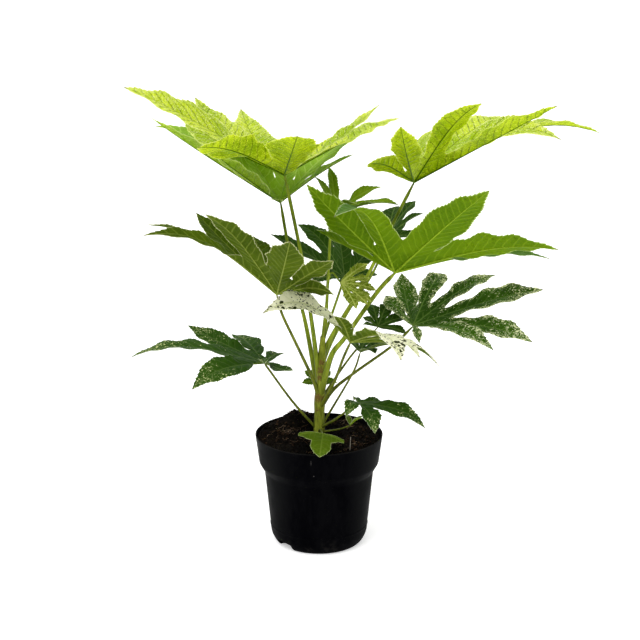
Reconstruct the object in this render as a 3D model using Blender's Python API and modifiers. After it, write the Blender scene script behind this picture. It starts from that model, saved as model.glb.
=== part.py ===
"""Potted fatsia: a young shrub with deeply lobed leaves, standing in a black nursery pot.

The pot stands on the XY plane with its axis on Z, and the side towards -Y is the front.
Each leaf is one blade with its petiole. A blade is described by its hub, where the petiole
meets it, by the way it faces, and by its lobes, which fan out round the hub.
"""
from collections import namedtuple
from math import cos, exp, hypot, pi, radians, sin, sqrt, tan

import bmesh
import bpy
from mathutils import Euler, Vector

MM = 0.001
GAP = 0.3 * MM
MERGE = 0.05 * MM

# Pot, measured along the outside from the rim down to the foot
POT_HEIGHT = 150 * MM
RIM_RADIUS = 85 * MM
COLLAR_HEIGHT = 112 * MM
COLLAR_RADIUS = 80 * MM
NECK_HEIGHT = 100 * MM
NECK_RADIUS = 73 * MM
HEEL_HEIGHT = 13 * MM
HEEL_RADIUS = 64.5 * MM
FOOT_HEIGHT = 4 * MM
FOOT_RADIUS = 60 * MM
BASE_RADIUS = 56 * MM
POT_WALL = 1.8 * MM
POT_FLOOR = 2.5 * MM
POT_SIDES = 48
DRAIN_WIDTH = 30 * MM
DRAIN_HEIGHT = 11 * MM
DRAIN_INNER = 48 * MM
DRAIN_BEARINGS = (-141, 39)

# Soil
SOIL_EDGE = 144 * MM
SOIL_CROWN = 5 * MM
# Heaps at the back and the left of the soil: place, height and reach in mm
HEAPS = (((-30, 52), 17, 26), ((-62, 14), 8, 30))
SOIL_RINGS = 7
SOIL_FOOT_RADIUS = 42 * MM
CLOD_HEIGHT = 1.1 * MM
CLODS_ACROSS = 310
CLODS_DEEP = 270
BRIM_BAND = 0.97
BRIM_CALM = 0.5

# Stem: points up its middle line with the radius at each
STEM_POINTS = (
    ((0, 0, 100), 7.0),
    ((0, 0, 150), 7.6),
    ((0.5, 0, 178), 7.0),
    ((1, 0, 196), 7.6),
    ((2, 0, 214), 6.8),
    ((3, 0, 231), 7.0),
    ((4, 0, 256), 5.4),
    ((5, 0, 284), 3.6),
)
STEM_SIDES_RESOLUTION = 4

BLADE_THICKNESS = 0.8 * MM
HALF_WIDTH = 0.125
NECK_SHARE = 0.78
WIDEST_AT = 0.42
TIP_FULLNESS = 0.95
TIP_TAPER = 0.5
LATE_BOW = 3.4
SINUS_SHARE = 0.32
FOLD_ANGLE = 12
TOOTH_OUT = 1.10
TOOTH_IN = 0.95
WEB_ROWS = 2
WEB_SAG = 0.06
BASAL_HALF_GAP = 60
EDGE_CLEARANCE = 0.6 * MM
WEDGE_SHARE = 0.97
SINUS_ROUNDING = 10
WIDE_SINUS_ANGLE = 24
WIDE_SINUS_DEPTH = 0.9
PETIOLE_STEPS = 9
SHEATH_SWELL = 0.8
PETIOLE_END_SHARE = 0.6
PETIOLE_SIDES_RESOLUTION = 2

# A lobe: bearing from the leaf's heading, rise above its plane, length in mm, then roll
# about its own midrib, share of the usual width, and arch as a share of its length
Lobe = namedtuple("Lobe", "bearing rise length roll width arch", defaults=(0, 1.0, None))

# A leaf: hub in mm, heading, tilt and lean in degrees, the petiole's points in mm from
# the stem to the hub, and its radius at the hub in mm
Leaf = namedtuple(
    "Leaf", "hub heading tilt lean lobes petiole girth arch sinus width widest neck rows colour",
    defaults=(0.05, SINUS_SHARE, 1.0, WIDEST_AT, NECK_SHARE, 7, "green"))

COLOURS = {
    "lime": (0.42, 0.60, 0.05),
    "olive": (0.17, 0.24, 0.04),
    "green": (0.10, 0.24, 0.02),
    "dark": (0.025, 0.085, 0.015),
    "cream": (0.72, 0.74, 0.45),
}

LEAVES = {
    "leaf_top_left": Leaf(
        hub=(-44, -20, 503), heading=148, tilt=0, lean=4, arch=-0.04, sinus=0.36, colour="lime",
        lobes=(Lobe(-123, 34, 158, 0, 0.7, -0.03), Lobe(-97, 14, 253, -6, 0.75, 0.02),
               Lobe(-42, 14, 254, 4, 0.8, -0.05), Lobe(-19, 22, 217, 0, 0.9, -0.05),
               Lobe(14, 28, 166, -26, 1.25, -0.07), Lobe(56, 27, 238, -28, 1.0, 0.02),
               Lobe(90, 14, 192, 30, 1.2, 0.05), Lobe(128, 22, 171, 0, 1.4, 0.0)),
        petiole=((0, 0, 222), (-8, -4, 294), (-22, -12, 391)), girth=2.3),
    "leaf_second_left": Leaf(
        hub=(-51, 45, 455), heading=137, tilt=-3, lean=3, arch=-0.01, sinus=0.28, widest=0.48,
        lobes=(Lobe(-130, 32, 115, 0, 1.05, 0.03), Lobe(-92, 29, 154, 0, 1.2, 0.05),
               Lobe(-55, 24, 176, 0, 1.0, 0.03), Lobe(-17, 32, 190), Lobe(20, 27, 206, -6, 1.2, 0.08),
               Lobe(57, 34, 201, 6, 1.1), Lobe(92, 31, 150), Lobe(127, 10, 57, -6, 1.1)),
        petiole=((-1, 3, 206), (-16, 18, 288), (-25, 26, 326), (-41, 38, 400)), girth=2.1),
    "leaf_middle_left": Leaf(
        hub=(-53, -60, 357), heading=218, tilt=11, lean=0, arch=0.08, sinus=0.38, colour="olive",
        lobes=(Lobe(-109, 23, 142, 0, 1.05, 0.01), Lobe(-76, 27, 172, -6, 1.2, -0.01),
               Lobe(-45, 18, 192, 10, 0.65, 0.10), Lobe(-12, 17, 198, -20, 0.65, 0.12),
               Lobe(16, 31, 193, 12, 0.75, 0.05), Lobe(54, 29, 175, -10, 1.1, -0.02),
               Lobe(78, 26, 152, -13, 0.9, 0.01), Lobe(97, 11, 99, -40, 1.3, 0.09)),
        petiole=((-1, -3, 205), (-9, -10, 231), (-30, -30, 284), (-47, -52, 329)), girth=1.8),
    "leaf_cream": Leaf(
        hub=(40, -75, 299), heading=317, tilt=-3, lean=-17, arch=0.14, widest=0.58, colour="cream",
        lobes=(Lobe(-109, 6, 134, -30, 1.15, 0.21), Lobe(-72, 25, 75, 0, 1.2, 0.05), Lobe(-28, 2, 160),
               Lobe(-3, 4, 116), Lobe(36, -2, 117), Lobe(72, 1, 85), Lobe(108, 1, 70)),
        petiole=((2, -3, 188), (21, -32, 235), (31, -52, 270)), girth=1.7),
    "leaf_young_tip": Leaf(
        hub=(28, -30, 365), heading=350, tilt=-11, lean=22, arch=0.05, sinus=0.42, width=1.25,
        rows=5, colour="lime",
        lobes=(Lobe(-55, -2, 53), Lobe(-35, -3, 51), Lobe(-15, -13, 47),
               Lobe(11, -8, 47), Lobe(38, -4, 42), Lobe(59, 8, 50, 0, 0.8)),
        petiole=((5, -1, 283), (10, -8, 335), (13, -18, 368), (18, -24, 376)), girth=1.3),
    "leaf_upper_centre": Leaf(
        hub=(21, 20, 445), heading=42, tilt=-7, lean=12, arch=0.08, sinus=0.42, rows=5,
        lobes=(Lobe(-110, 31, 62, 0, 1.2), Lobe(-64, 25, 89, 0, 1.5), Lobe(-21, 38, 70, 0, 1.4),
               Lobe(22, 10, 50, 0, 1.2), Lobe(65, 32, 80, 0, 0.65), Lobe(109, 41, 55, 0, 1.1)),
        petiole=((5, 3, 280), (9, 9, 304), (12, 14, 366), (16, 20, 430)), girth=1.8),
    "leaf_middle_right": Leaf(
        hub=(96, -60, 386), heading=273, tilt=14, lean=-12, arch=0.03, sinus=0.30, widest=0.36,
        lobes=(Lobe(-120, 17, 82, -9, 0.95, -0.02), Lobe(-98, 17, 114, 16, 1.5, 0.0),
               Lobe(-55, 26, 182, 33, 1.0, -0.01), Lobe(-27, 11, 223, 0, 0.75, 0.15),
               Lobe(19, 27, 236, -12, 0.85, 0.01), Lobe(61, 17, 214, -18, 1.1, 0.06),
               Lobe(93, 16, 200, 22, 0.7, 0.07), Lobe(132, 22, 144, 9, 1.05, 0.03)),
        petiole=((2, -2, 205), (16, -12, 261), (34, -20, 289), (74, -36, 353)), girth=2.8),
    "leaf_top_right": Leaf(
        hub=(122, 10, 488), heading=338, tilt=1, lean=-7, arch=0.01, widest=0.5, neck=0.55,
        colour="lime",
        lobes=(Lobe(-99, 12, 126, 36, 0.95, 0.06), Lobe(-77, 22, 201, 0, 0.68, -0.02),
               Lobe(-47, 30, 209, 6, 0.82, 0.06), Lobe(-16, 27, 229, 0, 1.2, 0.0),
               Lobe(13, 18, 194, 32, 0.95, 0.18), Lobe(35, 15, 261, 0, 1.05, 0.12),
               Lobe(72, 22, 221, 10, 0.9, 0.06), Lobe(107, 17, 157, -30, 1.2, 0.11)),
        petiole=((3, 1, 252), (17, 4, 284), (60, 8, 358), (96, 10, 434)), girth=2.2),
    "leaf_back_centre": Leaf(
        hub=(34, 70, 347), heading=123, tilt=24, lean=7, arch=0.08, sinus=0.44, widest=0.38,
        colour="dark",
        lobes=(Lobe(-141, 9, 35), Lobe(-101, 9, 50, 0, 1.3), Lobe(-60, 9, 97, 0, 1.3),
               Lobe(-20, 9, 106, 0, 1.3), Lobe(18, 13, 101, -12, 1.2, 0.12), Lobe(58, 15, 118, 0, 1.1, 0.02),
               Lobe(104, 5, 72), Lobe(141, 9, 50)),
        petiole=((3, 4, 266), (9, 18, 285), (24, 48, 322)), girth=1.6),
    "leaf_back_right": Leaf(
        hub=(93, 90, 399), heading=72, tilt=9, lean=-16, arch=0.05, sinus=0.5, width=1.9,
        rows=5, colour="dark",
        lobes=(Lobe(-110, -6, 46), Lobe(-74, 17, 57), Lobe(-35, 23, 66), Lobe(0, 18, 66),
               Lobe(37, 16, 50), Lobe(74, 10, 35), Lobe(110, 10, 30)),
        petiole=((3, 4, 240), (16, 18, 270), (40, 38, 310), (72, 58, 356)), girth=1.6),
    "leaf_speckled_right": Leaf(
        hub=(123, 0, 299), heading=16, tilt=5, lean=6, arch=0.0, widest=0.55, neck=0.5, colour="dark",
        lobes=(Lobe(-100, -5, 50, 0, 0.9, 0.15), Lobe(-71, 6, 161, 12, 0.62, 0.09),
               Lobe(-43, 0, 165, 14, 0.88, 0.08), Lobe(-15, 13, 176, 6, 1.08, 0.03),
               Lobe(17, 14, 145, 0, 0.82, 0.06), Lobe(50, 11, 130, 12, 0.86, 0.1),
               Lobe(77, 11, 131, 4, 1.0, -0.08), Lobe(94, 6, 92, -12)),
        petiole=((2, 1, 185), (19, 0, 211), (45, 0, 233), (97, 0, 272)), girth=1.8),
    "leaf_low_left": Leaf(
        hub=(-71, -20, 254), heading=189, tilt=4, lean=1, arch=0.08, widest=0.44, colour="dark",
        lobes=(Lobe(-121, 1, 50, 0, 1.9, 0.08), Lobe(-77, 2, 123, 4, 1.1, 0.06),
               Lobe(-41, 12, 129, -18, 0.95, -0.01), Lobe(-4, 0, 174, 0, 1.0, 0.1),
               Lobe(37, -7, 127, -24, 1.2, 0.1), Lobe(82, 14, 50, 10, 1.2, 0.12),
               Lobe(109, 9, 82, 16, 0.8, -0.04)),
        petiole=((0, 0, 153), (-8, -3, 163), (-36, -10, 199), (-63, -16, 240)), girth=1.5),
    "leaf_low_right": Leaf(
        hub=(50, -60, 213), heading=349, tilt=-13, lean=-4, arch=0.16, sinus=0.4, rows=6,
        widest=0.36, colour="dark",
        lobes=(Lobe(-96, -8, 54, 0, 1.3, 0.2), Lobe(-52, -20, 60, 16, 1.6, 0.15),
               Lobe(-8, -3, 94, 24, 1.15, 0.11), Lobe(46, -6, 50, 10, 1.2, 0.1), Lobe(106, -14, 32)),
        petiole=((3, -3, 160), (19, -21, 175), (35, -41, 194)), girth=1.4),
    "leaf_small_folded": Leaf(
        hub=(41, -30, 172), heading=30, tilt=-10, lean=-10, arch=0.10, rows=4, width=1.4,
        lobes=(Lobe(-71, 30, 22), Lobe(0, 26, 27), Lobe(74, 30, 20)),
        petiole=((2, -1, 152), (14, -10, 157), (28, -20, 163)), girth=1.1),
    "leaf_small_front": Leaf(
        hub=(5, -50, 167), heading=265, tilt=-8, lean=-7, arch=0.08, sinus=0.9, width=1.5,
        rows=4, lobes=(Lobe(-66, -1, 34, 0, 0.7), Lobe(1, -18, 43, 0, 1.15), Lobe(65, -5, 32, 0, 0.7)),
        petiole=((0, -3, 153), (2, -20, 162)), girth=1.2),
    "leaf_small_behind": Leaf(
        hub=(0, 45, 208), heading=95, tilt=38, lean=0, arch=0.08, width=1.8, rows=4,
        lobes=(Lobe(-104, 10, 25), Lobe(-52, 10, 22), Lobe(0, 12, 18), Lobe(52, 10, 25),
               Lobe(102, 10, 25)),
        petiole=((1, 3, 192), (1, 18, 200)), girth=1.1),
    "leaf_under_cream": Leaf(
        hub=(54, -10, 266), heading=21, tilt=-7, lean=-6, arch=0.08, width=1.35, rows=5,
        colour="dark",
        lobes=(Lobe(-91, 7, 51), Lobe(-57, 18, 54), Lobe(-19, 13, 54), Lobe(19, 11, 48),
               Lobe(57, 13, 44), Lobe(89, 10, 39)),
        petiole=((1, 1, 156), (15, 2, 180), (45, -6, 237)), girth=1.3),
    "leaf_behind_speckled": Leaf(
        hub=(79, 45, 285), heading=85, tilt=16, lean=7, arch=0.08, width=1.9, rows=5,
        colour="dark",
        lobes=(Lobe(-108, 3, 41), Lobe(-65, 12, 43), Lobe(-13, 17, 45), Lobe(16, 12, 43),
               Lobe(65, 12, 25), Lobe(108, 12, 22)),
        petiole=((2, 3, 195), (15, 15, 212), (46, 38, 250)), girth=1.4),
}


def clear_scene():
    for item in list(bpy.data.objects):
        bpy.data.objects.remove(item, do_unlink=True)


def make_collection(name):
    collection = bpy.data.collections.new(name)
    bpy.context.scene.collection.children.link(collection)
    return collection


def make_material(name, colour, roughness):
    material = bpy.data.materials.new(name)
    material.use_nodes = True
    shader = material.node_tree.nodes["Principled BSDF"]
    shader.inputs["Base Color"].default_value = (*colour, 1.0)
    shader.inputs["Roughness"].default_value = roughness
    shader.inputs["Metallic"].default_value = 0.0
    return material


def add_object(name, data, collection):
    item = bpy.data.objects.new(name, data)
    collection.objects.link(item)
    return item


def baked(item, name, collection):
    """Turn an object with its modifiers into a plain welded mesh object and drop the old one."""
    depsgraph = bpy.context.evaluated_depsgraph_get()
    mesh = bpy.data.meshes.new_from_object(item.evaluated_get(depsgraph))
    bm = bmesh.new()
    bm.from_mesh(mesh)
    bmesh.ops.remove_doubles(bm, verts=bm.verts, dist=MERGE)
    bm.to_mesh(mesh)
    bm.free()
    result = add_object(name, mesh, collection)
    result.matrix_world = item.matrix_world
    bpy.data.objects.remove(item, do_unlink=True)
    return result


def boolean(item, tool, operation):
    """Cut or join item with tool, which is removed afterwards."""
    modifier = item.modifiers.new(operation.title(), "BOOLEAN")
    modifier.operation = operation
    modifier.solver = "EXACT"
    modifier.object = tool
    name = item.name
    item.name = name + "_raw"
    result = baked(item, name, item.users_collection[0])
    bpy.data.objects.remove(tool, do_unlink=True)
    return result


def turned(name, outline, sides, collection):
    """Turn an outline of (radius, height) points, top to bottom outside, into a solid."""
    mesh = bpy.data.meshes.new(name)
    bm = bmesh.new()
    points = [bm.verts.new((radius, 0, height)) for radius, height in outline]
    for first, second in zip(points, points[1:]):
        bm.edges.new((first, second))
    bm.to_mesh(mesh)
    bm.free()
    item = add_object(name + "_outline", mesh, collection)
    screw = item.modifiers.new("Turn", "SCREW")
    screw.axis = "Z"
    screw.angle = 2 * pi
    screw.steps = sides
    screw.render_steps = sides
    screw.use_merge_vertices = True
    screw.merge_threshold = MERGE
    return baked(item, name, collection)


def make_pot(parts, tools):
    outside = [
        (RIM_RADIUS, POT_HEIGHT), (COLLAR_RADIUS, COLLAR_HEIGHT),
        (NECK_RADIUS, NECK_HEIGHT), (HEEL_RADIUS, HEEL_HEIGHT),
        (FOOT_RADIUS, FOOT_HEIGHT), (BASE_RADIUS, 0), (0, 0),
    ]
    inside = pot_inside()
    pot = turned("pot", [*inside, *outside], POT_SIDES, parts)
    for bearing in DRAIN_BEARINGS:
        bpy.ops.mesh.primitive_cube_add(size=1)
        cutter = bpy.context.object
        cutter.name = "drain_cutter"
        reach = HEEL_RADIUS + POT_WALL - DRAIN_INNER
        middle = DRAIN_INNER + reach / 2
        angle = radians(bearing)
        cutter.scale = (reach, DRAIN_WIDTH, 2 * DRAIN_HEIGHT)
        cutter.rotation_euler = (0, 0, angle)
        cutter.location = (middle * cos(angle), middle * sin(angle), 0)
        cutter.hide_render = True
        cutter.display_type = "WIRE"
        move_to(cutter, tools)
        pot = boolean(pot, cutter, "DIFFERENCE")
    return pot


def move_to(item, collection):
    for old in item.users_collection:
        old.objects.unlink(item)
    collection.objects.link(item)


def pot_inside():
    """The pot's inner wall, from the middle of its floor up to the rim."""
    return [
        (0, POT_FLOOR), (BASE_RADIUS - POT_WALL, POT_FLOOR),
        (HEEL_RADIUS - POT_WALL, HEEL_HEIGHT + POT_WALL),
        (NECK_RADIUS - POT_WALL, NECK_HEIGHT + POT_WALL / 2),
        (COLLAR_RADIUS - POT_WALL, COLLAR_HEIGHT + POT_WALL / 2),
        (RIM_RADIUS - POT_WALL, POT_HEIGHT),
    ]


def soil_height(x, y):
    """Height of the soil's surface: a low crown, two heaps and shallow clods."""
    reach = hypot(x, y)
    crown = SOIL_CROWN * cos(min(reach / RIM_RADIUS, 1) * pi / 2)
    heap = 0
    for place, height, span in HEAPS:
        away = hypot(x - place[0] * MM, y - place[1] * MM)
        heap += height * MM * exp(-(away / (span * MM)) ** 2)
    clods = CLOD_HEIGHT * sin(CLODS_ACROSS * x + 2) * sin(CLODS_DEEP * y + 1)
    return SOIL_EDGE + crown + heap + clods


def make_soil(parts, tools):
    inside = pot_inside()
    low = [(0, POT_FLOOR + GAP), (SOIL_FOOT_RADIUS, POT_FLOOR + GAP)]
    low += [(radius - GAP * 1.5, height) for radius, height in inside[2:-1]]
    slope = (RIM_RADIUS - COLLAR_RADIUS) / (POT_HEIGHT - COLLAR_HEIGHT)
    brim = low[-1][0] + slope * (SOIL_EDGE - inside[-2][1])
    top = [(brim * ring / SOIL_RINGS, SOIL_EDGE) for ring in range(SOIL_RINGS + 1)]
    soil = turned("soil", [*top, *reversed(low)], POT_SIDES, parts)
    for vertex in soil.data.vertices:
        place = vertex.co
        if place.z > SOIL_EDGE - MM:
            rim_share = hypot(place.x, place.y) / brim
            lift = soil_height(place.x, place.y) - SOIL_EDGE
            place.z += lift * (1 if rim_share < BRIM_BAND else BRIM_CALM)
    hole = tube("stem_hole", STEM_POINTS[:3], tools, STEM_SIDES_RESOLUTION, GAP, 3 * GAP)
    return boolean(soil, hole, "DIFFERENCE")


def smooth_route(points, steps):
    """Points along a Catmull-Rom curve through the given points."""
    knots = [points[0] * 2 - points[1], *points, points[-1] * 2 - points[-2]]
    spans = len(points) - 1
    route = []
    for step in range(steps + 1):
        span = min(step * spans // steps, spans - 1)
        t = step * spans / steps - span
        before, start, end, after = knots[span:span + 4]
        route.append(0.5 * (2 * start + (end - before) * t
                            + (2 * before - 5 * start + 4 * end - after) * t * t
                            + (3 * start - before - 3 * end + after) * t ** 3))
    return route


def curve_tube(name, route, radii, resolution, collection):
    """A closed tube mesh along the route, with a radius at each of its points."""
    curve = bpy.data.curves.new(name, "CURVE")
    curve.dimensions = "3D"
    curve.bevel_depth = 1.0
    curve.bevel_resolution = resolution
    curve.use_fill_caps = True
    spline = curve.splines.new("POLY")
    spline.points.add(len(route) - 1)
    for point, place, radius in zip(spline.points, route, radii):
        point.co = (*place, 1.0)
        point.radius = radius
    return baked(add_object(name + "_line", curve, collection), name, collection)


def tube(name, points, collection, resolution, grow=0.0, lower=0.0):
    route = [Vector(place) * MM for place, radius in points]
    route[0].z -= lower
    radii = [radius * MM + grow for place, radius in points]
    return curve_tube(name, route, radii, resolution, collection)


def leaf_frame(leaf):
    turn = (Euler((0, 0, radians(leaf.heading))).to_matrix()
            @ Euler((0, -radians(leaf.tilt), 0)).to_matrix()
            @ Euler((radians(leaf.lean), 0, 0)).to_matrix())
    return turn


class Rib:
    """The midrib of one lobe: where it runs, and which way its blade's sides and top face."""

    def __init__(self, leaf, lobe):
        turn = leaf_frame(leaf)
        bearing, rise = radians(lobe.bearing), radians(lobe.rise)
        self.hub = Vector(leaf.hub) * MM
        self.length = lobe.length * MM
        self.along = turn @ Vector((cos(rise) * cos(bearing), cos(rise) * sin(bearing), sin(rise)))
        top = turn @ Vector((0, 0, 1))
        self.bow = (top - top.dot(self.along) * self.along).normalized()
        self.arch = leaf.arch if lobe.arch is None else lobe.arch
        left = self.bow.cross(self.along)
        roll = radians(lobe.roll)
        self.up = self.bow * cos(roll) - left * sin(roll)
        self.left = left * cos(roll) + self.bow * sin(roll)
        self.width = lobe.width * leaf.width

    def at(self, t):
        """A point on the midrib, bowed most a little past its middle."""
        bow = self.arch * self.length * (2 + LATE_BOW * t) * t * (1 - t)
        return self.hub + self.along * self.length * t + self.bow * bow


def outline_width(t, leaf):
    """Share of a lobe's greatest width, from its neck at 0 to its tip at 1."""
    if t < leaf.widest:
        q = t / leaf.widest
        return leaf.neck + (1 - leaf.neck) * (3 * q * q - 2 * q ** 3)
    q = (t - leaf.widest) / (1 - leaf.widest)
    return (1 - q) * (1 + TIP_FULLNESS * q - TIP_TAPER * q ** 3)


class Sinus:
    """The notch between two lobes, and the web of blade between it and the hub."""

    def __init__(self, leaf, first, second, bm):
        self.half_angle = first.along.angle(second.along) / 2
        wide = self.half_angle > radians(WIDE_SINUS_ANGLE)
        self.depth = leaf.sinus * min(first.length, second.length) * (WIDE_SINUS_DEPTH if wide else 1)
        self.verts = []
        for row in range(1, WEB_ROWS + 1):
            away = self.depth * row / WEB_ROWS
            middle = (first.at(away / first.length) + second.at(away / second.length)) / 2
            middle += (middle - first.hub) * WEB_SAG * row / WEB_ROWS
            self.verts.append(bm.verts.new(middle))


def make_blade(name, leaf, collection):
    """The open surface of a blade: two strips to each lobe, joined by webs at the hub."""
    bm = bmesh.new()
    hub = bm.verts.new(Vector(leaf.hub) * MM)
    ribs = [Rib(leaf, lobe) for lobe in leaf.lobes]
    gaps = [None, *(Sinus(leaf, a, b, bm) for a, b in zip(ribs, ribs[1:])), None]
    for rib, right_gap, left_gap in zip(ribs, gaps, gaps[1:]):
        depths = [gap.depth for gap in (right_gap, left_gap) if gap]
        neck = sum(depths) / len(depths) / rib.length
        stations = [neck * row / WEB_ROWS for row in range(1, WEB_ROWS + 1)]
        stations += [neck + (1 - neck) * row / leaf.rows for row in range(1, leaf.rows + 1)]
        spine = [hub, *(bm.verts.new(rib.at(t)) for t in stations)]
        for side, gap in ((-1, right_gap), (1, left_gap)):
            edge = [hub]
            for row, t in enumerate(stations[:-1], start=1):
                if gap and row <= WEB_ROWS:
                    edge.append(gap.verts[row - 1])
                    continue
                edge.append(bm.verts.new(edge_point(leaf, rib, gap, side, row, t, neck)))
            edge.append(spine[-1])
            strip_faces(bm, spine, edge, side)
    bmesh.ops.delete(bm, geom=[v for v in bm.verts if not v.link_faces], context="VERTS")
    bmesh.ops.triangulate(bm, faces=bm.faces)
    mesh = bpy.data.meshes.new(name)
    bm.to_mesh(mesh)
    bm.free()
    blade = add_object(name, mesh, collection)
    solidify = blade.modifiers.new("Thickness", "SOLIDIFY")
    solidify.thickness = BLADE_THICKNESS
    solidify.offset = 0.0
    return blade


def edge_point(leaf, rib, gap, side, row, t, neck):
    """A point on a lobe's edge, kept on its own side of the line between two lobes."""
    full = HALF_WIDTH * rib.width * rib.length
    half_angle = gap.half_angle if gap else radians(BASAL_HALF_GAP)
    if row <= WEB_ROWS:
        half = full * leaf.neck * sqrt(row / WEB_ROWS)
    else:
        out = (t - neck) / (1 - neck)
        tooth = TOOTH_OUT if (row - WEB_ROWS) % 2 else TOOTH_IN
        half = full * outline_width(out, leaf) * tooth
        if gap:
            flare = gap.depth * sin(half_angle) - full * leaf.neck
            half += flare * (1 - out) ** (1 + SINUS_ROUNDING * (1 - leaf.sinus))
    half = min(half, t * rib.length * tan(half_angle) * WEDGE_SHARE - EDGE_CLEARANCE)
    fold = radians(FOLD_ANGLE)
    return rib.at(t) + side * rib.left * half * cos(fold) + rib.up * half * sin(fold)


def strip_faces(bm, spine, edge, side):
    """Faces between a midrib and one edge, facing up."""
    for row in range(len(spine) - 1):
        corners = [spine[row], spine[row + 1], edge[row + 1], edge[row]]
        unique = [corner for index, corner in enumerate(corners) if corner not in corners[:index]]
        bm.faces.new(unique[::-1] if side > 0 else unique)


def make_petiole(name, leaf, collection):
    points = [Vector(point) * MM for point in leaf.petiole] + [Vector(leaf.hub) * MM]
    route = smooth_route(points, PETIOLE_STEPS)
    radii = [leaf.girth * MM * (1.0 + SHEATH_SWELL * (1 - step / PETIOLE_STEPS) ** 3)
             for step in range(PETIOLE_STEPS + 1)]
    radii[-1] *= PETIOLE_END_SHARE
    return curve_tube(name, route, radii, PETIOLE_SIDES_RESOLUTION, collection)


def make_leaf(name, leaf, parts, tools):
    blade = make_blade(name, leaf, parts)
    item = boolean(blade, make_petiole(name + "_petiole", leaf, tools), "UNION")
    cutter = tube("stem_cutter", STEM_POINTS, tools, STEM_SIDES_RESOLUTION, GAP)
    return boolean(item, cutter, "DIFFERENCE")


def main():
    clear_scene()
    parts = make_collection("potted_fatsia")
    tools = make_collection("cutters")
    finishes = {name: make_material(name + "_leaf", colour, 0.45)
                for name, colour in COLOURS.items()}
    pot = make_pot(parts, tools)
    pot.data.materials.append(make_material("pot_plastic", (0.012, 0.012, 0.013), 0.42))
    soil = make_soil(parts, tools)
    soil.data.materials.append(make_material("soil", (0.03, 0.018, 0.011), 0.95))
    stem = tube("stem", STEM_POINTS, parts, STEM_SIDES_RESOLUTION)
    stem.data.materials.append(make_material("stem_bark", (0.36, 0.42, 0.13), 0.6))
    for name, leaf in LEAVES.items():
        item = make_leaf(name, leaf, parts, tools)
        item.data.materials.clear()
        item.data.materials.append(finishes[leaf.colour])


main()
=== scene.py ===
"""Potted fatsia: the looks of its leaves, stem, soil and pot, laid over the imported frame.

The frame gives the real places and sizes. Every leaf is made again here from the same hub,
lobes and petiole as its solid, with finer edges, relief and veins, and stands for that node.
"""
from collections import namedtuple
from math import cos, exp, hypot, pi, radians, sin, sqrt, tan
from random import Random

import bpy
from bpy.props import FloatProperty, FloatVectorProperty, IntProperty, PointerProperty
from bpy.types import Operator, Panel, PropertyGroup
from mathutils import Euler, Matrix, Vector, noise


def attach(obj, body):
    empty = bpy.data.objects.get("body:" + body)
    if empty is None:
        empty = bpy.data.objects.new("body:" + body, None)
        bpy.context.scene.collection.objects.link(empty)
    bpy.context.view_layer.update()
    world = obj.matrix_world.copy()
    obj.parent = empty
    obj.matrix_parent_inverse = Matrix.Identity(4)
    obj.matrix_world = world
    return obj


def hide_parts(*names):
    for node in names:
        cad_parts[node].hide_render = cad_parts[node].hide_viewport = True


bl_info = {
    "name": "Potted Fatsia",
    "version": (1, 0, 0),
    "blender": (4, 5, 0),
    "location": "3D View > Sidebar > Fatsia",
    "description": "Makes a potted fatsia: lobed leaves, stem, soil and a nursery pot",
    "category": "Object",
}

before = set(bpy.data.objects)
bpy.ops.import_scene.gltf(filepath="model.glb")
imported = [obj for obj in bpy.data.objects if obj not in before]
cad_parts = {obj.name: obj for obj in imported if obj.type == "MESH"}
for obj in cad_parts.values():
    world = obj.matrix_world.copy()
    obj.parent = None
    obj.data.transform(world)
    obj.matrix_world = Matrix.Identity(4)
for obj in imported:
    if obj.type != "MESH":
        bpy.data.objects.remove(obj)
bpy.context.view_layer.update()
ROOT = "root"
MM = 0.001

# Pot, as in the part's source
POT_HEIGHT = 150 * MM
RIM_RADIUS = 85 * MM
COLLAR_HEIGHT = 112 * MM
COLLAR_RADIUS = 80 * MM
NECK_HEIGHT = 100 * MM
NECK_RADIUS = 73 * MM
HEEL_HEIGHT = 13 * MM
HEEL_RADIUS = 64.5 * MM
FOOT_HEIGHT = 4 * MM
FOOT_RADIUS = 60 * MM
BASE_RADIUS = 56 * MM
POT_WALL = 1.8 * MM
POT_FLOOR = 2.5 * MM
POT_STEPS = 144
# Steps round a corner, the most of a side that it takes as one over this, and the share
# of a side at which a point outside it keeps the side straight
CORNER_STEPS = 5
CORNER_LIMIT = 2.2
CORNER_LEAD = 0.03
DRAIN_WIDTH = 30 * MM
DRAIN_HEIGHT = 11 * MM
DRAIN_INNER = 48 * MM
DRAIN_BEARINGS = (-141, 39)
DRAIN_ROUND = 4 * MM
DRAIN_OVERSHOOT = 4 * MM
FOOT_BAND_HEIGHT = 26 * MM
FOOT_BAND_RADIUS = 65.6 * MM
FOOT_BAND_RISE = 0.4 * MM
# How far each corner is rounded, from the lip downwards outside and upwards inside
OUTSIDE_ROUNDS = (0.85 * MM, 2 * MM, 2 * MM, *[0.3 * MM] * 4, 5 * MM, 3 * MM, 1.5 * MM)
INSIDE_ROUNDS = (3 * MM, 5 * MM, 2 * MM, 2 * MM, 0.85 * MM)

# Soil, as in the part's source, with a finer surface
SOIL_EDGE = 144 * MM
SOIL_CROWN = 5 * MM
# Heaps at the back and the left of the soil: place, height and reach in mm
HEAPS = (((-30, 52), 17, 26), ((-62, 14), 8, 30))
# The surface's unevenness: size and height in mm
SOIL_LUMPS = ((16, 1.6), (7, 1.3), (3.2, 0.7))
# The share of its height that the surface keeps at its brim, and how wide the brim is
BRIM_SHARE = 0.35
BRIM_WIDTH = 4 * MM
SOIL_RINGS = 56
SOIL_SPOKES = 168
SOIL_FOOT_RADIUS = 42 * MM
SOIL_GAP = 0.4 * MM

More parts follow.
